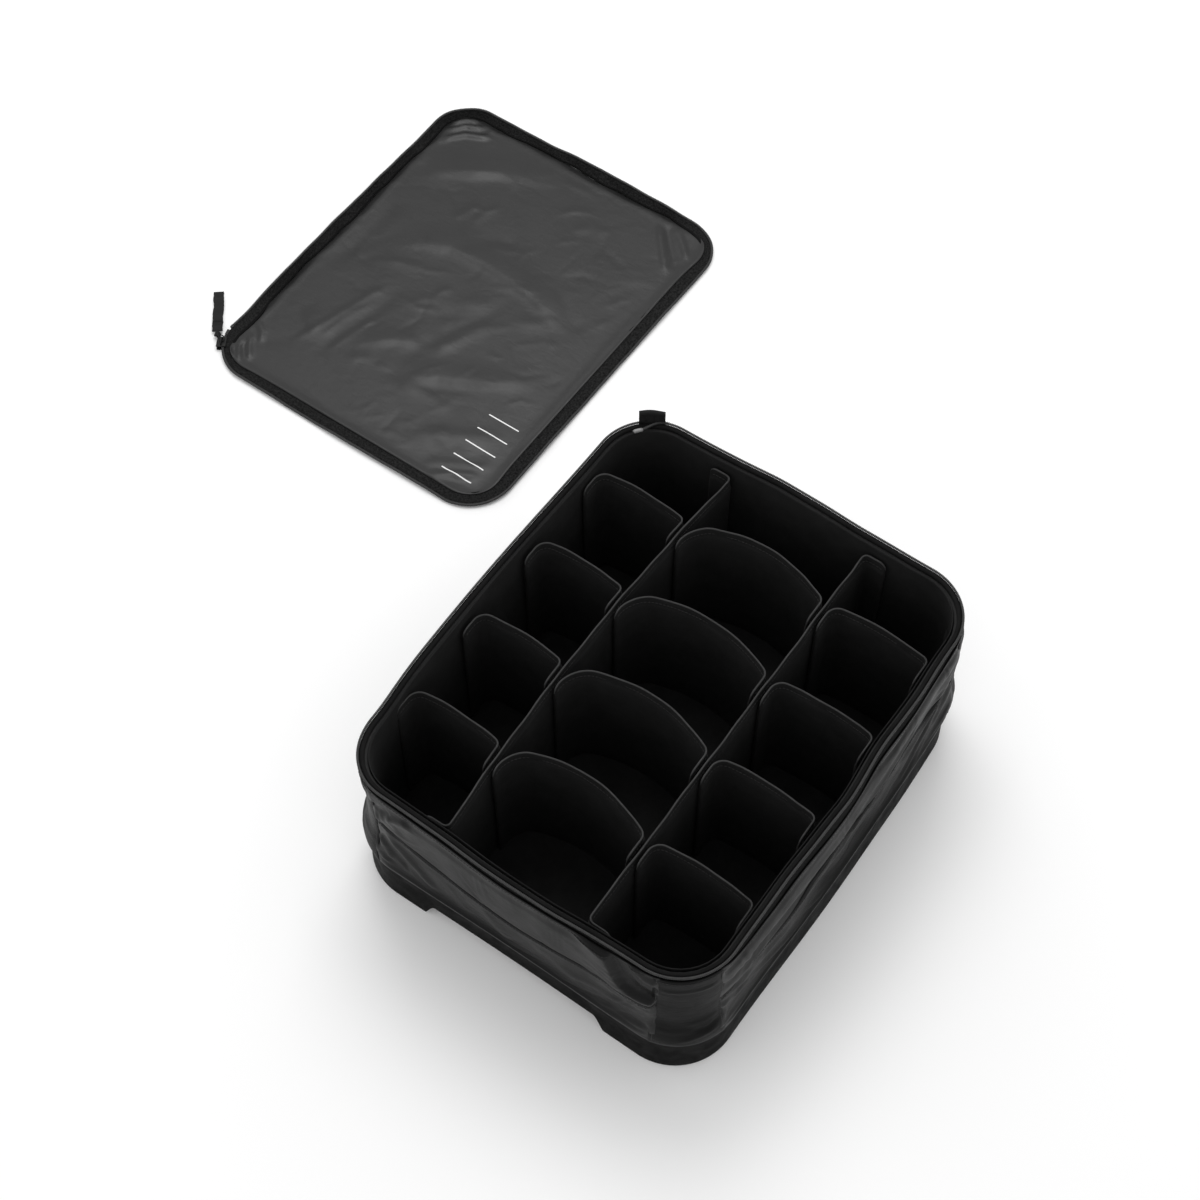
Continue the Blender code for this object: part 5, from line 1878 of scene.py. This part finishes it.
@dataclass
class LidPlan:
    """The sizes that the lid's pieces share."""

    half_width: float = 0.179
    half_length: float = 0.219
    corner: float = 0.049
    tape_width: float = 0.0158
    tape_height: float = 0.0041
    centre: tuple[float, float] = (0.0, 0.0)
    outline: Outline = field(init=False)

    def __post_init__(self) -> None:
        """Reads the lid's place from its sewn edge and lays out its outline."""
        low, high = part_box("lid_binding")
        self.centre = ((low.x + high.x) / 2, (low.y + high.y) / 2)
        self.outline = Outline(self.centre, self.half_width, self.half_length, self.corner,
                               (0.0015, 0.0010, 0.0010, -0.0006), lean=0.0098)

    def far(self, station: Array) -> Array:
        """Share of the way along the back and left sides, where the tape stands up, eased at both ends."""
        starts = self.outline.starts()
        way = self.outline.once_round(station)
        return smooth_step((way - starts[1] + 0.02) / 0.05) * smooth_step((starts[4] - 0.012 - way) / 0.05)

    def rise(self, station: Array) -> Array:
        """How far the tape's outer edge stands up."""
        way = self.outline.once_round(station)
        return 0.0062 * self.far(station) * (1 + 0.22 * ripple(way, 85, (0.16, 0.06)))

    def dip(self, station: Array) -> Array:
        """How far the sewn edge sinks between tape and sheet."""
        return 0.0020 * self.far(station)

    def waver(self, x: Array, y: Array) -> Array:
        """How unevenly the sewn edge runs beside the standing tape."""
        return 0.0024 * ripple(x - y, 61, (0.15, 0.055, 0.027))

    def drawn_back(self, x: Array, y: Array) -> Array:
        """How much more of the tape the right side shows, from the lid's middle."""
        run = smooth_step((self.half_length - np.abs(y) - 0.02) / 0.06)
        return 0.0026 * run * smooth_step((x - self.half_width + 0.034) / 0.012)

    def over(self, x: Array, y: Array) -> Array:
        """How far the sheet is drawn out over the tape at every corner but the nearest, from the lid's middle."""
        away = np.hypot(self.half_width - self.tape_width - np.abs(x), self.half_length - self.tape_width - np.abs(y))
        return 0.0046 * np.exp(-((away / 0.034) ** 2)) * np.where((x > 0) & (y < 0), 0.0, 1.0)

    def seen_width(self, station: Array) -> Array:
        """The tape's width from its free edge to the sewn edge."""
        point, _, _ = self.outline.frame_at(station)
        x, y = point[..., 0] - self.centre[0], point[..., 1] - self.centre[1]
        flat = self.tape_width - 0.0018 - (0.0044 - self.waver(x, y)) * self.far(station)
        return flat + self.drawn_back(x, y) - self.over(x * (1 - self.tape_width / self.half_width),
                                                        y * (1 - self.tape_width / self.half_length))


def face_up(mesh: bpy.types.Mesh) -> None:
    """Turns a lying sheet's faces upwards."""
    if sum(polygon.normal.z * polygon.area for polygon in mesh.polygons) < 0:
        bmesh_flip(mesh)


@dataclass
class LidPanel:
    """The lid's loose nylon sheet, inside up, drawn out over the tape at three corners and dipped beside it along the
    far sides.
    """

    plan: LidPlan
    rack: Rack
    inset: float = 0.0135
    level: float = 0.0030
    pitch: float = 0.0024
    cut: float = 1.008
    lowest: float = 0.0008

    folds: tuple[Fold, ...] = (
        Fold(((-112, 8), (-88, 29), (-56, 43), (-18, 46), (23, 43), (56, 38), (86, 28), (114, 22)), 2.6, 22, 8),
        Fold(((76, 64), (90, 46), (104, 34), (126, 30)), -0.8, 9, 9),
        Fold(((4, -132), (33, -102), (76, -81), (130, -46)), 1.9, 18, 8),
        Fold(((-150, 107), (-108, 140), (-59, 165)), 1.7, 20, 8),
        Fold(((-119, 127), (-72, 160), (-10, 183)), 1.4, 16, 9),
        Fold(((-166, 180), (-153, 197), (-134, 207)), 2.4, 2.4, 2.2),
        Fold(((-162, 171), (-149, 189), (-126, 200)), 2.8, 2.8, 2.4),
        Fold(((-160, 158), (-142, 179), (-112, 193)), 2.8, 3.6, 3.0),
        Fold(((-118, -159), (-100, -101), (-81, -31)), 0.9, 4, 5),
        Fold(((-86, -156), (-81, -113), (-71, -77), (-65, -25)), -0.8, 9, 8),
        Fold(((-96, -134), (-90, -96), (-78, -60)), 0.6, 4, 4),
        Fold(((-80, -144), (-73, -111), (-64, -76)), 0.6, 4, 4),
        Fold(((-12, -122), (-3, -76), (13, -47), (38, 20)), -0.7, 10, 8),
        Fold(((10, -88), (22, -50), (44, -12)), 1.1, 8, 8),
        Fold(((-80, 74), (-67, 112)), 0.6, 5, 5),
        Fold(((-60, 82), (-49, 122)), 0.6, 5, 5),
        Fold(((30, 136), (70, 160)), 0.7, 7, 7),
        Fold(((104, 196), (127, 168), (152, 140)), 2.0, 3.6, 3.6),
        Fold(((108, 203), (134, 174), (158, 150)), -1.6, 3.5, 3.0),
        Fold(((120, 204), (140, 187), (160, 168)), 2.0, 3.2, 3.0),
        Fold(((-165, -184), (-160, -197), (-149, -207)), 2.2, 2.2, 2.2),
        Fold(((-162, -172), (-155, -189), (-141, -204)), 2.6, 2.4, 2.4),
        Fold(((-158, -164), (-149, -180), (-134, -197)), 2.4, 2.6, 2.4),
        Fold(((-163, -150), (-150, -158), (-140, -172)), 1.8, 2.8, 2.4),
        Fold(((98, -205), (118, -190), (146, -174)), 2.2, 5, 5),
        Fold(((84, -196), (112, -180), (150, -158)), 1.5, 7, 6),
        Fold(((48, -186), (92, -152), (138, -126)), 1.5, 10, 11),
        Fold(((157, 120), (155, 22), (155, -79), (151, -150)), 0.8, 4, 5),
        Fold(((-150, -60), (-141, 10), (-148, 80)), -0.9, 9, 12),
    )

    def build(self) -> bpy.types.Object:
        """Shapes the sheet, settles it on the floor and dresses it."""
        plan = self.plan
        half_x, half_y = plan.half_width - self.inset, plan.half_length - self.inset
        radius = plan.corner - self.inset

        def place(x: Array, y: Array) -> Array:
            """The sheet before it settles."""
            new_x, new_y = squared(x, y, half_x, half_y, radius)
            edge = np.minimum(half_x - np.abs(x), half_y - np.abs(y))
            waver = 0.0005 * rumple(x, y, 70, 0.11) * smooth_step(edge / 0.02)
            near = 0.0016 * np.exp(-((np.minimum(half_x - x, half_y + y) / 0.006) ** 2))
            height = self.level - 0.0010 * smooth_step(edge / 0.05) + waver + near
            left, back = half_x + x, half_y - y
            ends = smooth_step((half_y + y) / 0.05) * smooth_step((half_x - x) / 0.05)
            growth = (0.0050 - plan.waver(x, y)) * ends
            over = plan.over(new_x, new_y) * np.exp(-((edge / 0.014) ** 2)) * math.sqrt(0.5)
            grown_x = new_x - growth * np.exp(-((left / 0.012) ** 2)) + plan.outline.leaning(new_x, new_y)
            grown_x = grown_x + over * np.sign(x) - plan.drawn_back(new_x, new_y)
            grown_y = new_y + growth * np.exp(-((back / 0.012) ** 2)) + over * np.sign(y)
            drop = 0.0023 * np.exp(-((np.minimum(left, back) / 0.0048) ** 2)) * ends
            return np.stack([plan.centre[0] + grown_x, plan.centre[1] + grown_y, height - drop + 0.22 * over], axis=1)

        mesh = woven("lid_sheet", even_steps(-half_x, half_x, self.pitch), even_steps(-half_y, half_y, self.pitch),
                     place)
        self.settle(mesh, half_x, half_y)
        self.crease(mesh, half_x, half_y)
        face_up(mesh)
        piece = show("lid_sheet", mesh, "lid", self.rack.lid_nylon, ["lid_panel"])
        thicken(piece, 0.0006)
        return piece

    def fine_creases(self) -> tuple[Fold, ...]:
        """Small sharp creases scattered over the sheet, most of them across its length."""
        dice = np.random.default_rng(91)
        made = []
        for _ in range(120):
            x, y = dice.uniform(-140, 140), dice.uniform(-190, 185)
            turn = dice.normal(0.45, 0.55)
            length = dice.uniform(18, 74)
            bend = dice.uniform(-0.18, 0.18) * length
            way, side = (math.cos(turn), math.sin(turn)), (-math.sin(turn), math.cos(turn))
            line = tuple((x + way[0] * s * length + side[0] * b * bend, y + way[1] * s * length + side[1] * b * bend)
                         for s, b in ((-0.5, 0.0), (0.0, 1.0), (0.5, 0.0)))
            made.append(Fold(line, dice.uniform(-0.52, 0.72), dice.uniform(2.4, 6.0), dice.uniform(2.4, 5.0), 0.45))
        for _ in range(34):
            x, y, turn = dice.uniform(-130, 130), dice.uniform(-180, 170), dice.normal(0.35, 0.6)
            length = dice.uniform(35, 95)
            way = (math.cos(turn) * length / 2, math.sin(turn) * length / 2)
            made.append(Fold(((x - way[0], y - way[1]), (x, y + dice.uniform(-6, 6)), (x + way[0], y + way[1])),
                             dice.uniform(-0.75, 1.1), dice.uniform(7, 14), dice.uniform(5, 9), 0.4))
        for _ in range(14):
            along_left = dice.uniform() < 0.55
            y = dice.uniform(-195, 195)
            x = dice.uniform(-150, 150)
            start = (-162.0, y) if along_left else (x, 202.0)
            end = (-162 + dice.uniform(8, 22), y + dice.uniform(-9, 9)) if along_left else (
                x + dice.uniform(-9, 9), 202 - dice.uniform(8, 22))
            middle = ((start[0] + end[0]) / 2 + dice.uniform(-2, 2), (start[1] + end[1]) / 2 + dice.uniform(-2, 2))
            made.append(Fold((start, middle, end), dice.uniform(0.2, 0.6), dice.uniform(2.0, 4.5),
                             dice.uniform(2.0, 3.5), 0.15))
        return tuple(made)

    def put_back(self, mesh: bpy.types.Mesh, points: Array) -> None:
        """Moves the sheet's points to their new places, none lower than the least height."""
        points[:, 2] = np.maximum(points[:, 2], self.lowest)
        mesh.vertices.foreach_set("co", points.ravel())
        mesh.update()

    def crease(self, mesh: bpy.types.Mesh, half_x: float, half_y: float) -> None:
        """Adds the sheet's folds and creases, upwards."""
        points = points_of(mesh)
        x, y = points[:, 0] - self.plan.centre[0], points[:, 1] - self.plan.centre[1]
        edge = np.minimum(half_x - np.abs(x), half_y - np.abs(y))
        folds = lifted(self.folds, x, y) + lifted(self.fine_creases(), x, y)
        points[:, 2] += folds * smooth_step(edge / 0.005)
        self.put_back(mesh, points)

    def settle(self, mesh: bpy.types.Mesh, half_x: float, half_y: float) -> None:
        """Lets the sheet sink on to the floor, a little larger than its frame, so that it buckles."""
        start = points_of(mesh)
        x, y = start[:, 0] - self.plan.centre[0], start[:, 1] - self.plan.centre[1]
        edge = np.minimum(half_x - np.abs(x), half_y - np.abs(y))
        corner = np.hypot(np.maximum(np.abs(x) - half_x + 0.034, 0), np.maximum(np.abs(y) - half_y + 0.034, 0))
        held = ((edge < 0.004) | (corner > 0.031)).astype(float)
        flat = np.stack([x * self.cut, y * self.cut, np.zeros_like(x)], axis=1)
        ground = woven("ground", even_steps(-0.3, 0.3, 0.05), even_steps(-0.3, 0.3, 0.05),
                       lambda a, b: np.stack([a + self.plan.centre[0], b + self.plan.centre[1],
                                              np.full_like(a, 0.0006)], axis=1))
        points = Settling(frames=14, gravity=0.6, tension=12.0, bending=0.05, cap=0.006).run(
            mesh, held, flat, [ground])
        self.put_back(mesh, points)


@dataclass
class LidEdge:
    """The lid's half of the zip laid out flat round the sheet: sewn edge, tape, coils, retainer and stop."""

    plan: LidPlan
    rack: Rack
    start: float = math.radians(190)
    end: float = math.radians(545)
    start_gap: float = 0.0082
    end_gap: float = 0.0040
    pitch: float = 0.0015

    def build(self) -> None:
        """Makes every piece of the edge."""
        self.tape()
        self.binding()
        self.chain()
        self.ends()

    def lie(self, station: Array) -> Array:
        """How far the tape's outer edge lifts off the floor."""
        way = self.plan.outline.once_round(station)
        return 0.0012 * (1 + ripple(way, 81, (0.23, 0.09, 0.04))) + self.plan.rise(station)

    def tape(self) -> None:
        """The tape, lying flat, with a ridge where the coils are sewn on."""
        plan = self.plan

        def place(station: Array, inset: Array) -> Array:
            """The tape's upper face."""
            outer = 1 - np.clip((inset - 0.0022) / 0.0138, 0, 1)
            inset = 0.0022 + (inset - 0.0022) / 0.0140 * plan.seen_width(station)
            lift = (self.lie(station) - 0.0008) * outer ** 1.3
            height = plan.tape_height - 0.0006 + lift - plan.dip(station) * (1 - outer)
            ridge = 0.0005 * np.exp(-(((inset - 0.0052) / 0.0011) ** 2))
            return plan.outline.at(station, inset + 0.35 * plan.rise(station) * outer, height + ridge, 1.0)

        mesh = woven("lid_tape", plan.outline.whole(0.004), even_steps(0.0022, 0.0162, 0.0010), place, weld=True)
        face_up(mesh)
        # The tape's lighter finish is painted light.
        piece = show("lid_tape", mesh, "lid", self.rack.lid_tape, ["lid_zip_tape"])
        thicken(piece, 0.0007)

    def binding(self) -> None:
        """The bound edge where tape and sheet are sewn together; its near-black finish is painted shade for the
        crease between them.
        """
        plan = self.plan
        turns = np.linspace(0, 2 * math.pi, 13)

        def place(station: Array, turn: Array) -> Array:
            """A flattened roll."""
            plump = 1 + 0.15 * ripple(station, 83, (0.15, 0.05))
            half = 0.0018 - 0.0009 * plan.far(station)
            uneven = 0.0004 * ripple(station, 84, (0.17, 0.07))
            inset = 0.0010 + plan.seen_width(station) - half * np.cos(turn) + uneven
            height = 0.0030 - 0.0006 * plan.far(station) + 0.0008 * plump * np.sin(turn)
            return plan.outline.at(station, inset, height, 1.0)

        mesh = woven("lid_sewn_edge", plan.outline.whole(0.004), turns, place, weld=True)
        show("lid_sewn_edge", mesh, "lid", self.rack.piping_painted_shade, ["lid_binding"])

    def chain(self) -> None:
        """The coils along the tape's free edge."""
        plan = self.plan
        first = plan.outline.station(self.start) + self.start_gap
        last = plan.outline.station(self.end) - self.end_gap
        stations = even_steps(first, last, self.pitch)
        height = plan.tape_height - 0.0006 + self.lie(stations) - 0.0008
        line = plan.outline.at(stations, 0.0016 + 0.35 * plan.rise(stations), height, 1.0)
        mesh = coil_row("lid_zip_coils", line, 0.0014)
        show("lid_zip_coils", mesh, "lid", self.rack.coil, ["lid_zip_coil"])

    def ends(self) -> None:
        """The retainer box and the stop."""
        for name in ("lid_zip_retainer", "lid_zip_stop"):
            work = welded(name)
            sharp = [edge for edge in work.edges if edge.calc_face_angle(0) > math.radians(40)]
            bmesh.ops.bevel(work, geom=sharp, offset=0.0004, affect="EDGES", segments=2, profile=0.5, material=-1)
            show(f"{name}_box", to_mesh(work, name), "lid", self.rack.coil, [name], smooth=False)


@dataclass
class SliderAndPull:
    """The zip slider with its bail, and the pull: cord loop, knot and ribbon."""

    rack: Rack
    knot_radius: float = 0.0042
    strand: float = 0.0013
    swell: float = 0.0011

    def build(self) -> None:
        """Dresses the slider and makes the pull."""
        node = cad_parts["zip_slider"]
        node.data.materials.clear()
        node.data.materials.append(self.rack.metal)
        weld = node.modifiers.new("weld", "WELD")
        weld.merge_threshold = WELD
        soften(node, 0.00025, 2, 35)
        self.pull()

    def pull(self) -> None:
        """The pieces that hang from the bail."""
        loop = show("pull_cord_loop_piece", to_mesh(welded("pull_cord_loop"), "pull_cord_loop"), "pull",
                    self.rack.cord, ["pull_cord_loop"])
        rounder = loop.modifiers.new("rounded", "SUBSURF")
        rounder.levels = rounder.render_levels = 2
        self.knot()
        self.ribbon()

    def knot(self) -> None:
        """The cord's knot: one strand wound over and under itself."""
        low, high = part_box("pull_knot")
        turns = np.linspace(0, 2 * math.pi * 1.02, 64)
        reach = self.knot_radius - self.strand - self.swell
        ring = reach + self.swell * np.cos(3 * turns)
        path = np.stack([ring * np.cos(2 * turns), ring * np.sin(2 * turns),
                         self.swell * 1.25 * np.sin(3 * turns)], axis=1)
        path += np.array([(low.x + high.x) / 2, (low.y + high.y) / 2, (low.z + high.z) / 2])
        show("pull_knot_piece", rod("pull_knot", path, self.strand), "pull", self.rack.cord,
             ["pull_knot"])

    def ribbon(self) -> None:
        """The ribbon, along its CAD strip, its edges and face a little uneven."""
        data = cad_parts["pull_ribbon"].data
        points = points_of(data)
        middle = (points.max(axis=0) + points.min(axis=0)) / 2
        _, _, axes = np.linalg.svd(points[:, :2] - points[:, :2].mean(axis=0))
        way, side = axes[0], np.array([-axes[0][1], axes[0][0]])
        share = (points[:, :2] - middle[:2]) @ way
        order = np.round(share, 5)
        stops = np.unique(order)
        levels = np.array([(points[order == stop, 2].max() + points[order == stop, 2].min()) / 2 for stop in stops])
        width = float(np.ptp((points[:, :2] - middle[:2]) @ side))

        def place(run: Array, across: Array) -> Array:
            """The ribbon's middle surface."""
            ends = smooth_step((run - stops[0]) / 0.012) * smooth_step((stops[-1] - run) / 0.012)
            lift = 0.0005 * (1 + ripple(run, 302, (0.024, 0.011))) * ends
            sway = (across * (1 + 0.05 * ripple(run, 303, (0.016, 0.006)))
                    + 0.0006 * ripple(run, 304, (0.045, 0.02)) * ends)
            flat = middle[:2] + way * run[:, None] + side * sway[:, None]
            return raised(flat, np.interp(run, stops, levels) + lift)

        mesh = woven("pull_ribbon", even_steps(stops[0], stops[-1], 0.0015),
                     even_steps(-width / 2, width / 2, 0.0014), place)
        face_up(mesh)
        piece = show("pull_ribbon_piece", mesh, "pull", self.rack.webbing, ["pull_ribbon"])
        thicken(piece, 0.0016, 0.0)
        soften(piece, 0.0004, 2, 60)


# Studio


@dataclass(frozen=True)
class Studio:
    """A pale floor, soft light from above and the camera."""

    eye: tuple[float, float, float] = (0.713663, -0.915549, 1.7460)
    pitch: float = math.radians(31.32)
    yaw: float = math.radians(35.05)
    lens: float = 64.33
    sky: float = 0.80
    key_power: float = 20.0
    key_size: float = 1.2
    key_place: tuple[float, float, float] = (-0.45, 0.62, 2.05)
    floor_glow: float = 0.06

    def build(self) -> None:
        """Sets up floor, light and camera."""
        scene = bpy.context.scene
        scene.view_settings.view_transform = "Standard"
        self.floor()
        self.light()
        data = bpy.data.cameras.new("camera")
        data.lens, data.sensor_width = self.lens, 36.0
        data.clip_start, data.clip_end = EYE, 50.0
        camera = set_down("camera", data)
        camera.location = self.eye
        camera.rotation_euler = (self.pitch, 0, self.yaw)
        scene.camera = camera

    def floor(self) -> None:
        """A wide pale floor that looks white where nothing shades it."""
        work = bmesh.new()
        bmesh.ops.create_grid(work, x_segments=2, y_segments=2, size=8.0)
        mesh = to_mesh(work, "studio_floor")
        piece = set_down("studio_floor", mesh)
        material = bpy.data.materials.new("pale_floor")
        material.use_nodes = True
        tree = material.node_tree
        tree.nodes.clear()
        out = tree.nodes.new("ShaderNodeOutputMaterial")
        diffuse = tree.nodes.new("ShaderNodeBsdfDiffuse")
        diffuse.inputs["Color"].default_value = (0.92, 0.92, 0.92, 1)
        glow = tree.nodes.new("ShaderNodeEmission")
        path = tree.nodes.new("ShaderNodeLightPath")
        seen = tree.nodes.new("ShaderNodeMath")
        seen.operation = "MAXIMUM"
        strength = tree.nodes.new("ShaderNodeMath")
        strength.operation = "MULTIPLY"
        strength.inputs[1].default_value = self.floor_glow
        both = tree.nodes.new("ShaderNodeAddShader")
        tree.links.new(path.outputs["Is Camera Ray"], seen.inputs[0])
        tree.links.new(path.outputs["Is Glossy Ray"], seen.inputs[1])
        tree.links.new(seen.outputs[0], strength.inputs[0])
        tree.links.new(strength.outputs[0], glow.inputs["Strength"])
        tree.links.new(diffuse.outputs[0], both.inputs[0])
        tree.links.new(glow.outputs[0], both.inputs[1])
        tree.links.new(both.outputs[0], out.inputs["Surface"])
        mesh.materials.append(material)

    def light(self) -> None:
        """An even sky and one broad lamp, up and to the left of the camera's view."""
        world = bpy.data.worlds.new("studio")
        bpy.context.scene.world = world
        world.use_nodes = True
        sky = world.node_tree.nodes["Background"]
        sky.inputs["Color"].default_value = (1, 1, 1, 1)
        sky.inputs["Strength"].default_value = self.sky
        data = bpy.data.lights.new("key", "AREA")
        data.shape, data.size, data.size_y = "RECTANGLE", self.key_size, self.key_size
        data.energy = self.key_power
        lamp = set_down("key", data)
        aim = Vector((0.1, -0.05, 0.0))
        lamp.location = aim + Vector(self.key_place)
        lamp.rotation_euler = (aim - lamp.location).to_track_quat("-Z", "Y").to_euler()


FRONT_FOLDS = (
    Fold(((90, 190), (95, 180), (101, 164), (107, 148), (113, 138), (128, 135), (146, 139)), 6.4, 2.8, 26, 0.08),
    Fold(((101, 187), (107, 170), (114, 156), (126, 147), (146, 143)), -5.5, 4.0, 3.0, 0.06),
    Fold(((108, 182), (118, 170), (128, 162), (146, 156)), -3.0, 5.0, 4.5, 0.10),
    Fold(((118, 182), (130, 173), (146, 169)), 2.8, 5, 5, 0.10),
    Fold(((-128, 172), (-60, 168), (0, 167), (90, 171)), -1.6, 3.5, 6.0, 0.15),
    Fold(((-134, 126), (-122, 113), (-109, 98), (-90, 79), (-71, 61)), 2.8, 6, 5),
    Fold(((-139, 111), (-124, 92), (-104, 68)), -2.0, 4.5, 4.5),
    Fold(((-137, 104), (-131, 88), (-124, 70)), 2.0, 4, 4),
    Fold(((-142, 86), (-136, 74), (-126, 63)), 1.5, 3.5, 3.5),
    Fold(((-138, 139), (-122, 154), (-100, 168)), 2.6, 5, 8, 0.12),
    Fold(((-142, 158), (-131, 161), (-120, 167)), -3.0, 3, 4, 0.1),
    Fold(((-66, 100), (-56, 82), (-42, 64)), 1.0, 6, 8),
    Fold(((-26, 100), (-16, 82), (0, 64)), 1.5, 9, 6),
    Fold(((66, 156), (76, 128), (86, 112)), 0.9, 8, 6),
    Fold(((46, 76), (90, 88), (143, 96)), 1.6, 7, 5),
    Fold(((88, 64), (116, 72), (143, 78)), -1.2, 4, 4),
    Fold(((92, 106), (118, 108), (144, 114)), 1.2, 4, 5),
    Fold(((20, 96), (48, 84), (74, 68)), 1.0, 9, 7),
)
RIGHT_FOLDS = (
    Fold(((-190, 172), (-150, 160), (-100, 150), (-40, 146), (0, 142), (40, 148), (76, 144), (120, 158), (184, 168)),
         -3.0, 3.5, 4.0, 0.06),
    Fold(((-190, 158), (-150, 146), (-100, 134), (-40, 124), (-5, 120), (40, 128), (80, 132), (120, 142), (184, 156)),
         2.2, 9, 9, 0.06),
    Fold(((-190, 136), (-150, 118), (-100, 104), (-40, 92), (0, 88), (40, 98), (80, 110), (130, 124)),
         2.0, 4.0, 7, 0.10),
    Fold(((-190, 146), (-150, 131), (-100, 116), (-50, 104), (-5, 102)), -1.5, 4.0, 4.0, 0.10),
    Fold(((-190, 118), (-150, 98), (-110, 84), (-60, 70)), 1.8, 5, 5),
    Fold(((-190, 104), (-156, 86), (-120, 68)), 1.4, 4, 4),
    Fold(((184, 136), (154, 112), (120, 92), (84, 74)), 2.0, 5, 5),
    Fold(((188, 118), (162, 98), (134, 80), (106, 66)), -1.5, 4, 4),
    Fold(((190, 106), (168, 88), (144, 70)), 1.7, 5, 4),
    Fold(((90, 100), (50, 84), (10, 74), (-30, 66)), 1.6, 5, 5),
    Fold(((120, 84), (90, 72), (50, 64)), 1.4, 5, 4),
)
LEFT_FOLDS = (
    Fold(((-185, 140), (-140, 118), (-90, 96), (-40, 84)), 2.8, 8, 6),
    Fold(((150, 126), (125, 114), (90, 98), (30, 88)), 1.8, 8, 6),
    Fold(((-180, 100), (-140, 84), (-90, 70)), 2.0, 6, 5),
    Fold(((-60, 150), (0, 140), (60, 148)), 2.0, 9, 9),
)
BACK_FOLDS = (
    Fold(((-140, 140), (-100, 116), (-60, 92), (-20, 80)), 2.6, 8, 6),
    Fold(((140, 132), (100, 112), (60, 94)), 2.4, 8, 6),
    Fold(((-60, 152), (0, 142), (60, 150)), 2.0, 9, 9),
)


ROW_SHARES = (0.211, 0.429, 0.640, 0.850)


def dividers(rack: Rack, plan: BoxPlan) -> None:
    """Builds the fourteen dividers on their CAD places."""
    room = DividerRoom()
    centre = np.array(plan.centre)
    made = [(f"long_divider_{word}", room.long_path(side), room.long_thickness, room.long_tab)
            for word, side in (("left", -1), ("right", 1))]
    for column in ("left", "middle", "right"):
        for number, share in enumerate(ROW_SHARES, start=1):
            row = (2 * share - 1) * room.room_half_length
            made.append((f"divider_{column}_{number}", room.short_path(column, row), room.short_thickness,
                         room.short_tab))
    for seed, (node, path, thickness, tab) in enumerate(made):
        low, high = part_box(node)
        Divider(rack, node, path + centre, thickness, tab, float(low.z), float(high.z), seed=200 + 7 * seed).build()


def main() -> None:
    """Builds the set: studio, box, dividers and lid."""
    logging.basicConfig(level=logging.INFO, format="%(name)s %(message)s")
    Studio().build()
    rack = Rack()
    plan = BoxPlan()
    BaseTray(plan, rack).build()
    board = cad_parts["floor_board"]
    board.data.materials.clear()
    board.data.materials.append(rack.board)
    Filling(plan, rack).build()
    WallFabric(plan, rack, Side.FRONT, 11, 0.130, 0.025, FRONT_FOLDS, hem_sag=0.005, pucker=0.25,
               pitch=0.0019).build()
    WallFabric(plan, rack, Side.RIGHT, 12, 0.116, 0.018, RIGHT_FOLDS, hem_sag=0.024, hem_ends=0.182,
               hem_waver=0.0030, pucker=0.3, pitch=0.0020).build()
    WallFabric(plan, rack, Side.LEFT, 13, 0.128, 0.018, LEFT_FOLDS, pucker=0.35).build()
    WallFabric(plan, rack, Side.BACK, 14, 0.128, 0.018, BACK_FOLDS, pucker=0.6).build()
    for quarter, name in enumerate(("back_right", "back_left", "front_left", "front_right")):
        CornerBand(plan, rack, quarter, name).build()
    Rim(plan, rack).build()
    WebbingTab(plan, rack).build()
    dividers(rack, plan)
    lid = LidPlan()
    LidEdge(lid, rack).build()
    LidPanel(lid, rack).build()
    SliderAndPull(rack).build()


if __name__ == "__main__":
    main()
